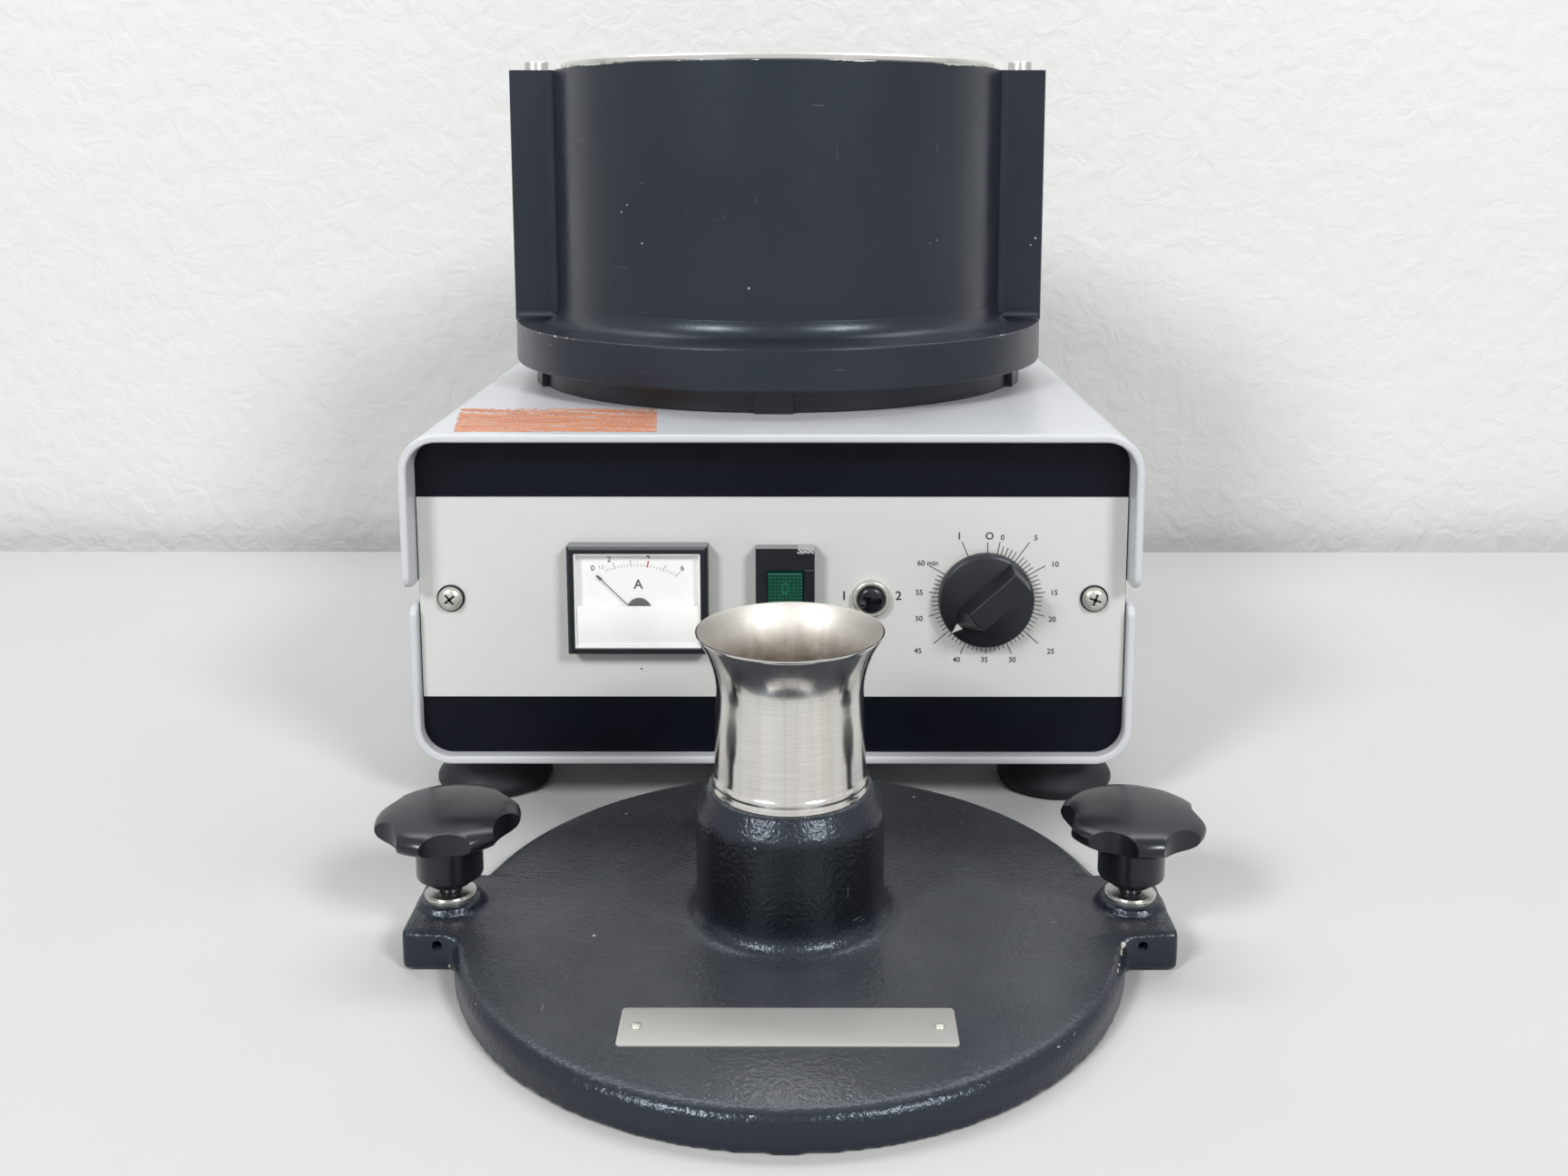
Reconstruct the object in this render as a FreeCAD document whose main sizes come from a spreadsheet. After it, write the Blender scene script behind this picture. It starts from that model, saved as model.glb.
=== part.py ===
import FreeCAD, Part
import math
import os
import Sketcher

os.makedirs("parts", exist_ok=True)
doc = FreeCAD.newDocument("lab_mill")

# Driving sizes in millimetres: name, value, meaning
SIZES = [
    ("side_shift", 1.5, "middle plane left of the origin, so that the footprint is centred"),
    ("cover_width", 354, "outside width of the cabinet covers"),
    ("cover_height", 167.5, "height from the lower cover's floor to the hood's top"),
    ("cover_wall", 4, "wall of the hood and of the lower cover"),
    ("cover_corner", 18.5, "outside corner radius of the covers"),
    ("hood_depth", 397, "hood, front rim to rear rim"),
    ("hood_overhang", 14.4, "hood rim in front of the panel"),
    ("lower_overhang", 4.5, "lower cover's rim in front of the panel"),
    ("hood_side_end", 117, "height at which the hood's sides end"),
    ("side_gap", 11.5, "open strip between hood and lower cover"),
    ("rim_round", 1.5, "rounding of the cover rims"),
    ("foot_height", 25.5, "bench to the lower cover"),
    ("foot_radius", 29.4, "rubber foot at its widest"),
    ("foot_neck_radius", 22, "rubber foot at its top"),
    ("foot_lip", 5, "height of the foot's widest line"),
    ("foot_screw_radius", 3, "screw that holds a foot"),
    ("foot_screw_head", 6, "radius of the foot screw's head"),
    ("foot_spread", 146, "foot centre from the middle plane"),
    ("foot_setback", 38, "front foot centre behind the panel"),
    ("panel_height", 100.6, "bright panel, bottom to top"),
    ("panel_thickness", 1.5, "bright panel sheet"),
    ("panel_side_gap", 0.8, "black line left beside the bright panel"),
    ("plate_thickness", 3, "black front and rear plates"),
    ("rear_inset", 14.4, "rear plate in front of the hood's rear rim"),
    ("sheet_wall", 2, "chassis sheet"),
    ("frame_corner", 16, "chassis corner radius"),
    ("fit_gap", 0.3, "clearance between pieces that slide in"),
    ("run_gap", 0.05, "radial clearance of a shaft in its hole"),
    ("deck_thickness", 6, "plate that carries the motor and the chamber"),
    ("axis_setback", 184, "chamber axis behind the panel"),
    ("ring_radius", 140, "support ring, outside"),
    ("ring_bore", 112, "support ring, inside"),
    ("ring_height", 12.5, "support ring"),
    ("ring_lug_width", 20, "lug on the support ring"),
    ("ring_lug_reach", 3, "lug beyond the support ring"),
    ("flange_radius", 154, "flange of the chamber casting"),
    ("flange_thickness", 22.5, "flange of the chamber casting"),
    ("chamber_radius", 129.4, "chamber casting, outside"),
    ("chamber_height", 142.5, "chamber wall above the flange"),
    ("chamber_wall", 6.6, "chamber casting wall"),
    ("chamber_floor", 9, "chamber casting floor"),
    ("chamber_fillet", 8, "rounding between wall and flange"),
    ("edge_chamfer", 1, "broken edges of castings"),
    ("ear_inner", 127.5, "chamber ear's inner side from the axis"),
    ("ear_outer", 151.7, "chamber ear's outer side from the axis"),
    ("ear_depth", 51.4, "chamber ear, front to back"),
    ("stud_spread", 141, "lid stud from the axis"),
    ("stud_radius", 6.85, "lid stud"),
    ("stud_height", 6, "lid stud above the ear"),
    ("stud_root", 22, "lid stud inside the ear"),
    ("stud_bore", 4.4, "tapped hole of the lid stud"),
    ("tower_radius", 36, "bearing tower in the chamber"),
    ("tower_height", 78, "bearing tower above the chamber floor"),
    ("shaft_radius", 8.5, "drive shaft"),
    ("shaft_nose_radius", 6, "drive shaft in the rotor"),
    ("bearing_radius", 17.5, "outer race of the bearings"),
    ("bearing_width", 12, "bearings"),
    ("race_wall", 3.2, "race of a bearing"),
    ("seal_recess", 0.8, "bearing seal below the race faces"),
    ("seal_height", 4, "shaft seal above the upper bearing"),
    ("pan_radius", 122, "collecting pan, outside"),
    ("pan_wall", 1.5, "collecting pan sheet"),
    ("pan_rise", 3.5, "pan rim above the chamber edge"),
    ("pan_inner_radius", 50.3, "collecting pan, inner wall"),
    ("sieve_radius", 51, "ring sieve, inside"),
    ("sieve_wall", 1.2, "ring sieve sheet"),
    ("sieve_height", 38, "ring sieve"),
    ("sieve_seat", 3, "rim of the pan below the ring sieve"),
    ("sieve_slot_width", 5, "window of the ring sieve"),
    ("sieve_slot_height", 26, "window of the ring sieve"),
    ("rotor_radius", 49.5, "rotor over its teeth"),
    ("rotor_height", 32, "rotor"),
    ("rotor_disc", 7, "rotor disc"),
    ("rotor_hub_radius", 14, "rotor hub"),
    ("rotor_hub_height", 16, "rotor hub"),
    ("tooth_depth", 11, "rotor tooth, tip to root"),
    ("tooth_width", 7, "rotor tooth at its root"),
    ("tooth_tip", 3, "rotor tooth at its tip"),
    ("motor_radius", 62, "motor shell"),
    ("motor_height", 128, "motor shell below the deck"),
    ("motor_wall", 4, "motor shell wall"),
    ("motor_nose_radius", 30, "motor nose above the deck"),
    ("stator_bore", 36.5, "stator bore"),
    ("stator_height", 56, "stator stack"),
    ("winding_height", 9, "winding head beyond the stack"),
    ("armature_radius", 35.5, "armature stack"),
    ("commutator_radius", 18, "commutator"),
    ("commutator_height", 18, "commutator"),
    ("brush_width", 8, "carbon brush, across"),
    ("brush_height", 10, "carbon brush, along the shaft"),
    ("brush_holder_wall", 2.5, "brush holder"),
    ("fan_radius", 52, "cooling fan"),
    ("fan_height", 10, "cooling fan"),
    ("fan_disc", 2, "cooling fan disc"),
    ("meter_width", 68, "ammeter frame"),
    ("meter_height", 54, "ammeter frame"),
    ("meter_front", 9.5, "ammeter frame in front of the panel"),
    ("meter_frame_wall", 3.2, "ammeter frame around its window"),
    ("meter_centre", 65, "ammeter left of the middle plane"),
    ("meter_rise", 1, "ammeter above the control line"),
    ("meter_body_radius", 24, "ammeter movement behind the panel"),
    ("meter_body_depth", 34, "ammeter movement behind the panel"),
    ("meter_dial_depth", 5.5, "dial below the frame's front"),
    ("meter_dial_plate", 1, "dial sheet"),
    ("meter_mask_depth", 1.6, "space for the needle behind the white cover"),
    ("meter_mask_sheet", 0.8, "white cover sheet"),
    ("meter_glass_plate", 1.5, "meter window pane"),
    ("meter_mask_height", 20.6, "white cover at the foot of the meter"),
    ("needle_length", 27, "needle from its pivot"),
    ("needle_width", 0.7, "needle"),
    ("needle_hub_radius", 5, "needle hub"),
    ("needle_lift", 0.6, "needle in front of the dial"),
    ("rocker_frame_width", 28.5, "rocker switch frame"),
    ("rocker_frame_height", 50, "rocker switch frame"),
    ("rocker_frame_front", 8, "rocker switch frame in front of the panel"),
    ("rocker_centre", 6.4, "rocker switch right of the middle plane"),
    ("rocker_rise", 1.9, "rocker switch above the control line"),
    ("rocker_width", 17, "rocker"),
    ("rocker_height", 27, "rocker"),
    ("rocker_swell", 3, "rise of the rocker's high half"),
    ("rocker_pivot", 4.5, "rocker pivot behind the frame's front"),
    ("rocker_pin", 1.5, "pin across the rocker's pocket"),
    ("rocker_pocket", 6, "depth of the rocker's pocket behind the panel"),
    ("rocker_body_depth", 40, "rocker switch behind the panel"),
    ("toggle_centre", 48.2, "toggle switch right of the middle plane"),
    ("toggle_nut_radius", 9.3, "toggle switch ring nut"),
    ("toggle_nut_height", 3.2, "toggle switch ring nut"),
    ("toggle_dome_radius", 6.65, "toggle switch dome"),
    ("toggle_dome_height", 5.4, "toggle switch dome in front of the panel"),
    ("toggle_slot_width", 3.2, "slot in the dome"),
    ("toggle_lever_radius", 1.4, "toggle lever"),
    ("toggle_barrel_radius", 2.2, "barrel of the lever on its pivot line"),
    ("toggle_lever_reach", 13, "toggle lever tip from its pivot"),
    ("toggle_pivot_depth", 3, "toggle pivot behind the panel"),
    ("toggle_body_width", 16, "toggle switch body"),
    ("toggle_body_depth", 24, "toggle switch body"),
    ("timer_centre", 104, "timer right of the middle plane"),
    ("timer_radius", 23.3, "timer knob skirt"),
    ("timer_skirt", 6.5, "timer knob skirt thickness"),
    ("timer_gap", 1.2, "timer knob off the panel"),
    ("timer_bar_height", 11, "timer grip bar above the skirt"),
    ("timer_bar_width", 12, "timer grip bar at its foot"),
    ("timer_bar_crest", 7, "timer grip bar at its crest"),
    ("timer_shaft_radius", 3, "timer shaft"),
    ("timer_body_width", 46, "timer movement"),
    ("timer_body_depth", 36, "timer movement"),
    ("screw_spread", 157, "panel screw from the middle plane"),
    ("screw_head_radius", 5.9, "panel screw head"),
    ("screw_head_height", 3.2, "panel screw head"),
    ("screw_shank_radius", 3, "panel screw shank"),
    ("screw_length", 14, "panel screw shank"),
    ("washer_radius", 6.8, "black washer of the panel screw"),
    ("washer_height", 1, "black washer of the panel screw"),
    ("bracket_width", 16, "panel bracket"),
    ("gland_radius", 9, "cable gland nut"),
    ("gland_length", 10, "cable gland outside the plate"),
    ("gland_bore", 3.6, "cable gland hole"),
    ("gland_spread", 110, "cable gland from the middle plane"),
    ("vent_length", 60, "vent slot"),
    ("vent_width", 4, "vent slot"),
    ("vent_pitch", 10, "vent slot spacing"),
    ("board_width", 90, "control board"),
    ("board_depth", 60, "control board"),
    ("board_thickness", 1.6, "control board"),
    ("board_rise", 8, "control board above the tray"),
    ("heat_sink_height", 22, "heat sink on the board"),
    ("lid_distance", 124.1, "lid axis in front of the panel, as it lies"),
    ("lid_offset", 10, "lid axis right of the middle plane, as it lies"),
    ("lid_radius", 136.7, "lid disc"),
    ("lid_thickness", 14.7, "lid disc"),
    ("lid_edge_round", 2.4, "rounding of the lid's upper edge"),
    ("lid_recess_radius", 127, "recess below the lid"),
    ("lid_recess_depth", 4.5, "recess below the lid"),
    ("lid_ear_reach", 155.6, "lid ear's end from the axis"),
    ("lid_ear_width", 51.4, "lid ear, front to back"),
    ("lid_ear_top", 18, "lid ear's top"),
    ("lid_ear_foot", 1, "lid ear's underside above the bench"),
    ("lid_ear_round", 3, "lid ear's corners"),
    ("boss_radius", 13.2, "boss below a star knob"),
    ("boss_top", 20, "top of that boss"),
    ("collar_radius", 10.6, "bright washer below a star knob"),
    ("collar_height", 2, "bright washer below a star knob"),
    ("knob_lift", 4, "star knob raised off its seat, as it lies"),
    ("cross_hole_radius", 2, "hole in the front of a lid ear"),
    ("cross_hole_offset", 141, "that hole from the lid axis"),
    ("neck_radius", 38.7, "neck of the lid"),
    ("neck_top", 69, "neck's top"),
    ("neck_bevel_foot", 59.5, "foot of the neck's bevel"),
    ("neck_mouth_radius", 33.4, "neck at its top edge"),
    ("neck_bore", 28.4, "bore of the neck"),
    ("neck_fillet", 5.5, "rounding at the neck's foot"),
    ("funnel_rim_radius", 38.4, "funnel's rim"),
    ("funnel_top", 134, "funnel's rim above the bench"),
    ("funnel_waist_radius", 30.2, "funnel's waist"),
    ("funnel_waist", 112, "height of the funnel's waist"),
    ("funnel_tube_radius", 30.9, "funnel's tube"),
    ("funnel_bead_radius", 32.2, "bead at the funnel's foot"),
    ("funnel_bead", 4.6, "height of that bead"),
    ("funnel_spigot_radius", 28, "funnel's spigot in the neck"),
    ("funnel_spigot", 30, "length of that spigot"),
    ("funnel_wall", 1.2, "funnel sheet"),
    ("funnel_flare", 26, "radius of the funnel's flare"),
    ("knob_radius", 29.6, "star knob over its lobes"),
    ("knob_notch_radius", 15.5, "hollow between two lobes"),
    ("knob_notch_depth", 4.6, "depth of that hollow"),
    ("knob_head", 15.5, "height of the star"),
    ("knob_rise", 5, "height over which the star's top curves in"),
    ("knob_under", 3.5, "height over which the star's underside runs out"),
    ("knob_edge_round", 1.5, "rounding of the star's edges"),
    ("clip_radius", 6.4, "retaining clip on the clamp screw"),
    ("clip_height", 1.2, "retaining clip on the clamp screw"),
    ("clip_seat", 14, "roof of the clip's pocket above the bench"),
    ("knob_hub_radius", 13.7, "star knob hub"),
    ("knob_hub", 20, "star knob hub"),
    ("clamp_screw_radius", 4.2, "clamp screw"),
    ("clamp_screw_foot", 4.2, "clamp screw's tip above the bench"),
    ("clamp_hole_radius", 7.4, "hole for the clamp screw's collar"),
    ("seal_thickness", 1, "lid seal ring"),
    ("seal_ring_radius", 120, "lid seal ring, inside"),
    ("label_width", 121, "label plate"),
    ("label_depth", 23.4, "label plate"),
    ("label_thickness", 0.6, "label plate"),
    ("label_corner", 2.5, "label plate corners"),
    ("label_distance", 87.4, "label plate in front of the lid axis"),
    ("rivet_spread", 54.4, "label rivet from the lid axis"),
    ("rivet_radius", 2.1, "label rivet head"),
    ("rivet_height", 0.9, "label rivet head"),
    ("rivet_shank", 1.2, "label rivet shank"),
    ("clamp_play", 0.3, "clamp screw in its hole"),
    ("cross_hole_rise", 11.3, "height of the hole in a lid ear"),
    ("needle_drop", 3.4, "needle pivot below the meter's centre"),
    ("rotor_lift", 5, "rotor above the bearing tower"),
    ("sieve_drop", 1.5, "sieve seat below the rotor"),
    ("board_setback", 90, "control board behind the front plate"),
    ("bolt_radius", 3, "chamber bolt"),
    ("bolt_head_radius", 5, "chamber bolt head"),
    ("bolt_head_height", 6, "chamber bolt head"),
    ("bolt_spread", 89, "chamber bolt from the axis, each way"),
    ("bolt_root", 12, "chamber bolt in the flange"),
    ("overrun", 2, "how far a cut runs past a face"),
]

sheet = doc.addObject("Spreadsheet::Sheet", "sizes")
for row, (alias, number, meaning) in enumerate(SIZES, start=1):
    sheet.set(f"A{row}", alias)
    sheet.set(f"B{row}", str(number))
    sheet.set(f"C{row}", meaning)
    sheet.setAlias(f"B{row}", alias)
doc.recompute()


class Length:
    """A size held as a number and as the sheet formula that gives it."""

    def __init__(self, number, formula):
        self.number = float(number)
        self.formula = formula

    def __add__(self, other):
        other = as_length(other)
        return Length(self.number + other.number, f"({self.formula} + {other.formula})")

    def __sub__(self, other):
        other = as_length(other)
        return Length(self.number - other.number, f"({self.formula} - {other.formula})")

    def __mul__(self, factor):
        return Length(self.number * factor, f"({self.formula} * {factor:.8f})")

    def __truediv__(self, factor):
        return Length(self.number / factor, f"({self.formula} / {factor:.8f})")

    def __neg__(self):
        return Length(-self.number, f"(0 mm - {self.formula})")

    __rmul__ = __mul__


class Sizes:
    """The sheet's sizes by name."""

    def __getattr__(self, alias):
        return Length(sheet.get(alias), f"(sizes.{alias} * 1 mm)")


ZERO = Length(0, "0 mm")
S = Sizes()


def as_length(value):
    return value if isinstance(value, Length) else ZERO


def plus(first, second):
    return as_length(first) + as_length(second)


def minus(first, second):
    return as_length(first) - as_length(second)


def dome(radius, rise):
    """Give the radius of the sphere whose cap has this foot radius and this rise."""
    number = (radius.number ** 2 + rise.number ** 2) / (2 * rise.number)
    formula = f"(({radius.formula} * {radius.formula} + {rise.formula} * {rise.formula}) / (2 * {rise.formula}))"
    return Length(number, formula)


def bind(thing, prop, length):
    """Tie one property to the sheet."""
    length = as_length(length)
    if length is not ZERO:
        thing.setExpression(prop, length.formula)


# Sketches, bodies and features

def new_body(name, x=0, y=0, z=0):
    body = doc.addObject("PartDesign::Body", name)
    body.Label = name
    for letter, value in (("x", plus(middle_x, x)), ("y", y), ("z", z)):
        bind(body, f".Placement.Base.{letter}", value)
    return body


def origin_plane(body, role):
    return next(item for item in body.Origin.OriginFeatures if item.Role == role)


def flat(value):
    """Give the number of a length or of a plain zero."""
    return as_length(value).number


def arc_between(start, end, radius, side):
    """Give the arc from start to end whose centre lies on one side of the chord."""
    a = FreeCAD.Vector(flat(start[0]), flat(start[1]), 0)
    b = FreeCAD.Vector(flat(end[0]), flat(end[1]), 0)
    chord = b - a
    half = chord.Length / 2
    rise = math.sqrt(max(radius.number ** 2 - half ** 2, 0))
    across = FreeCAD.Vector(-chord.y, chord.x, 0).normalize()
    centre = (a + b) / 2 + across * (rise * side)
    first, last = (a, b) if side > 0 else (b, a)
    start_angle = math.atan2(first.y - centre.y, first.x - centre.x)
    end_angle = math.atan2(last.y - centre.y, last.x - centre.x)
    if end_angle < start_angle:
        end_angle += 2 * math.pi
    circle = Part.Circle(centre, FreeCAD.Vector(0, 0, 1), radius.number)
    return Part.ArcOfCircle(circle, start_angle, end_angle)


def fix_point(sketch, geometry, end, u, v):
    """Dimension one sketch point from the origin."""
    for kind, axis, value in (("DistanceX", -2, u), ("DistanceY", -1, v)):
        value = as_length(value)
        if abs(value.number) < 1e-9:
            sketch.addConstraint(Sketcher.Constraint("PointOnObject", geometry, end, axis))
        else:
            place = sketch.addConstraint(
                Sketcher.Constraint(kind, -1, 1, geometry, end, value.number))
            sketch.setExpression(f"Constraints[{place}]", value.formula)


def draw_loop(sketch, points):
    """Draw a closed outline. A point is (u, v), or (u, v, radius, side) before an arc."""
    pieces = []
    count = len(points)
    for index, point in enumerate(points):
        after = points[(index + 1) % count]
        if len(point) == 2:
            line = Part.LineSegment(
                FreeCAD.Vector(flat(point[0]), flat(point[1]), 0),
                FreeCAD.Vector(flat(after[0]), flat(after[1]), 0))
            pieces.append((sketch.addGeometry(line, False), 1, 2))
        else:
            arc = arc_between(point, after, point[2], point[3])
            ends = (1, 2) if point[3] > 0 else (2, 1)
            pieces.append((sketch.addGeometry(arc, False), *ends))
    for index, (geometry, first, last) in enumerate(pieces):
        following = pieces[(index + 1) % count]
        sketch.addConstraint(
            Sketcher.Constraint("Coincident", geometry, last, following[0], following[1]))
    for (geometry, first, last), point in zip(pieces, points):
        fix_point(sketch, geometry, first, point[0], point[1])
        if len(point) > 2:
            place = sketch.addConstraint(
                Sketcher.Constraint("Radius", geometry, point[2].number))
            sketch.setExpression(f"Constraints[{place}]", point[2].formula)


def draw_circle(sketch, u, v, radius):
    circle = Part.Circle(FreeCAD.Vector(flat(u), flat(v), 0), FreeCAD.Vector(0, 0, 1), radius.number)
    geometry = sketch.addGeometry(circle, False)
    fix_point(sketch, geometry, 3, u, v)
    place = sketch.addConstraint(Sketcher.Constraint("Radius", geometry, radius.number))
    sketch.setExpression(f"Constraints[{place}]", radius.formula)


def new_sketch(body, role, loops=(), circles=(), offset=0):
    """Make a sketch on one of the body's origin planes, moved along the plane's normal."""
    sketch = body.newObject("Sketcher::SketchObject", f"{body.Name}_sketch")
    sketch.AttachmentSupport = [(origin_plane(body, role), "")]
    sketch.MapMode = "FlatFace"
    bind(sketch, ".AttachmentOffset.Base.z", offset)
    for loop in loops:
        draw_loop(sketch, loop)
    for circle in circles:
        draw_circle(sketch, *circle)
    doc.recompute()
    return sketch


def volume_of(body):
    return body.Shape.Volume if body.Tip is not None else 0.0


def add_feature(body, kind, sketch, length=None, reverse=False, both=False, through=False):
    """Add a pad, pocket, revolution or groove and check that it changed the volume."""
    before = volume_of(body)
    feature = body.newObject(f"PartDesign::{kind}", f"{body.Name}_{kind.lower()}")
    feature.Profile = sketch
    if kind in ("Revolution", "Groove"):
        feature.ReferenceAxis = (sketch, ["V_Axis"])
        feature.Angle = 360
    else:
        if through:
            feature.Type = "ThroughAll"
        else:
            bind(feature, "Length", length)
        if both:
            feature.SideType = "Symmetric"
    feature.Reversed = reverse
    body.Tip = feature
    doc.recompute()
    change = body.Shape.Volume - before
    adds = kind in ("Pad", "Revolution")
    if (adds and change <= 0) or (not adds and change >= 0):
        raise RuntimeError(f"{feature.Name} changed the volume by {change:.3f}")
    return feature


def pad(body, role, loops, length, circles=(), offset=0, reverse=False, both=False):
    sketch = new_sketch(body, role, loops, circles, offset)
    return add_feature(body, "Pad", sketch, length, reverse, both)


def pocket(body, role, loops, length, circles=(), offset=0, reverse=False, both=False):
    sketch = new_sketch(body, role, loops, circles, offset)
    return add_feature(body, "Pocket", sketch, length, reverse, both)


def turn(body, points):
    """Revolve an outline of (radius, height) points about the body's own Z axis."""
    sketch = new_sketch(body, "XZ_Plane", [points])
    return add_feature(body, "Revolution", sketch)


def turn_away(body, points):
    sketch = new_sketch(body, "XZ_Plane", [points])
    return add_feature(body, "Groove", sketch)


def dress(body, kind, size, wanted):
    """Fillet or chamfer the edges that a test picks."""
    base = body.Tip
    names = [f"Edge{number}" for number, edge in enumerate(base.Shape.Edges, start=1)
             if wanted(edge)]
    if not names:
        raise RuntimeError(f"{body.Name} has no edge to {kind}")
    feature = body.newObject(f"PartDesign::{kind}", f"{body.Name}_{kind.lower()}")
    feature.Base = (base, names)
    bind(feature, "Radius" if kind == "Fillet" else "Size", size)
    body.Tip = feature
    doc.recompute()
    return feature


def polar(body, feature, count):
    pattern = body.newObject("PartDesign::PolarPattern", f"{body.Name}_polar")
    pattern.Originals = [feature]
    pattern.Axis = (origin_axis(body, "Z_Axis"), [""])
    pattern.Angle = 360
    pattern.Occurrences = count
    body.Tip = pattern
    doc.recompute()
    return pattern


def origin_axis(body, role):
    return next(item for item in body.Origin.OriginFeatures if item.Role == role)


def linear(body, feature, role, length, count):
    pattern = body.newObject("PartDesign::LinearPattern", f"{body.Name}_linear")
    pattern.Originals = [feature]
    pattern.Direction = (origin_axis(body, role), [""])
    bind(pattern, "Length", length)
    pattern.Occurrences = count
    body.Tip = pattern
    doc.recompute()
    return pattern


def mirrored(body, features, role):
    mirror = body.newObject("PartDesign::Mirrored", f"{body.Name}_mirror")
    mirror.Originals = features
    mirror.MirrorPlane = (origin_plane(body, role), [""])
    body.Tip = mirror
    doc.recompute()
    return mirror


def box_loop(low_u, low_v, high_u, high_v):
    return [(low_u, low_v), (high_u, low_v), (high_u, high_v), (low_u, high_v)]


def centred_box(width, height, u=0, v=0):
    return box_loop(minus(u, width / 2), minus(v, height / 2), plus(u, width / 2), plus(v, height / 2))


def rounded_box(low_u, low_v, high_u, high_v, radius):
    """A rectangle with quarter arcs at its corners, counterclockwise."""
    low_u, low_v = as_length(low_u), as_length(low_v)
    high_u, high_v = as_length(high_u), as_length(high_v)
    return [
        (low_u + radius, low_v), (high_u - radius, low_v, radius, 1),
        (high_u, low_v + radius), (high_u, high_v - radius, radius, 1),
        (high_u - radius, high_v), (low_u + radius, high_v, radius, 1),
        (low_u, high_v - radius), (low_u, low_v + radius, radius, 1)]


def vertical_edge(edge):
    if len(edge.Vertexes) != 2:
        return False
    first, last = (vertex.Point for vertex in edge.Vertexes)
    return abs(first.x - last.x) < 1e-6 and abs(first.y - last.y) < 1e-6


def circle_edge(edge, radius, height):
    """Tell whether an edge is a circle of one radius at one height."""
    if not isinstance(edge.Curve, Part.Circle):
        return False
    centre = edge.Curve.Center
    return abs(edge.Curve.Radius - flat(radius)) < 1e-4 and abs(centre.z - flat(height)) < 1e-4


def group(name, make, places):
    """Make one body for each place and join them, as separate solids, in one node."""
    bodies = [make(f"{name}_{number}", *place) for number, place in enumerate(places, start=1)]
    joined = doc.addObject("Part::Compound", name)
    joined.Links = bodies
    joined.Label = name
    doc.recompute()
    return joined


# Places that several pieces share
lid_reach = S.lid_distance + S.lid_radius
rear_reach = S.hood_depth - S.hood_overhang
middle_x = -S.side_shift
panel_y = (lid_reach - rear_reach) / 2
axis_y = panel_y + S.axis_setback
rear_plate_y = panel_y + S.hood_depth - S.hood_overhang - S.rear_inset
half_width = S.cover_width / 2
inner_half = half_width - S.cover_wall
cover_floor = S.foot_height + S.cover_wall
hood_top = S.foot_height + S.cover_height
hood_under = hood_top - S.cover_wall
control_line = S.foot_height + S.cover_height / 2
lower_side_end = S.hood_side_end - S.side_gap
inner_corner = S.cover_corner - S.cover_wall
plate_back = panel_y + S.panel_thickness + S.plate_thickness
deck_top = hood_under - S.sheet_wall
deck_under = deck_top - S.deck_thickness
ring_top = hood_top + S.ring_height
flange_top = ring_top + S.flange_thickness
chamber_top = flange_top + S.chamber_height
chamber_floor_top = flange_top + S.chamber_floor
tower_top = chamber_floor_top + S.tower_height
chamber_bore = S.chamber_radius - S.chamber_wall
rotor_foot = tower_top + S.rotor_lift
sieve_foot = rotor_foot - S.sieve_drop
motor_foot = deck_under - S.motor_height
lower_bearing_foot = motor_foot
shaft_foot = motor_foot + S.overrun
stator_foot = motor_foot + S.motor_height / 3
fan_foot = stator_foot + S.stator_height + S.winding_height + S.overrun * 2
board_y = plate_back + S.board_setback
needle_z = control_line + S.meter_rise - S.needle_drop
needle_way = S.needle_width + S.run_gap
lid_x = S.lid_offset
lid_y = panel_y - S.lid_distance
clamp_way = S.clamp_screw_radius + S.clamp_play
cross_hole_z = S.cross_hole_rise

# Resting angles in degrees, as the parts stand
NEEDLE_REST = 51
TOGGLE_REST = 20
TIMER_REST = 138
KNOB_LEFT_REST = -9.35
KNOB_RIGHT_REST = -20


def bolt_holes(centre_y, radius):
    """Circles of the four chamber bolts round a centre."""
    spread = S.bolt_spread
    return [(side * spread, plus(centre_y, end * spread), radius) for side in (-1, 1) for end in (-1, 1)]


def foot_places():
    """Foot centres, front pair and rear pair."""
    rear_y = panel_y + S.axis_setback * 2 - S.foot_setback
    return [(side * S.foot_spread, y) for y in (panel_y + S.foot_setback, rear_y) for side in (-1, 1)]


def foot_holes(datum_y):
    """Circles of the four foot screws, seen from a body's own datum."""
    way = S.foot_screw_radius + S.fit_gap
    return [(x, y - datum_y, way) for x, y in foot_places()]


def hood():
    """Upper cover: a rounded arch with open ends and a hole for the motor's nose."""
    body = new_body("hood", y=panel_y - S.hood_overhang)
    outer, inner = half_width, inner_half
    low, high, under = S.hood_side_end, hood_top, hood_under
    arch = [
        (-outer, low), (-inner, low),
        (-inner, under - inner_corner, inner_corner, -1),
        (-inner + inner_corner, under), (inner - inner_corner, under, inner_corner, -1),
        (inner, under - inner_corner), (inner, low), (outer, low),
        (outer, high - S.cover_corner, S.cover_corner, 1),
        (outer - S.cover_corner, high), (-outer + S.cover_corner, high, S.cover_corner, 1),
        (-outer, high - S.cover_corner)]
    pad(body, "XZ_Plane", [arch], S.hood_depth, reverse=True)
    nose = S.motor_nose_radius + S.fit_gap
    centre = S.hood_overhang + S.axis_setback
    pocket(body, "XY_Plane", [], S.cover_wall + S.overrun * 2, offset=hood_top + S.overrun,
           circles=[(0, centre, nose)] + bolt_holes(centre, S.bolt_radius + S.fit_gap))
    front = 0
    dress(body, "Fillet", S.rim_round, lambda edge: all(abs(v.Point.y - front) < 1e-4 for v in edge.Vertexes)
          and edge.BoundBox.YLength < 1e-4)
    return body


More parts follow.
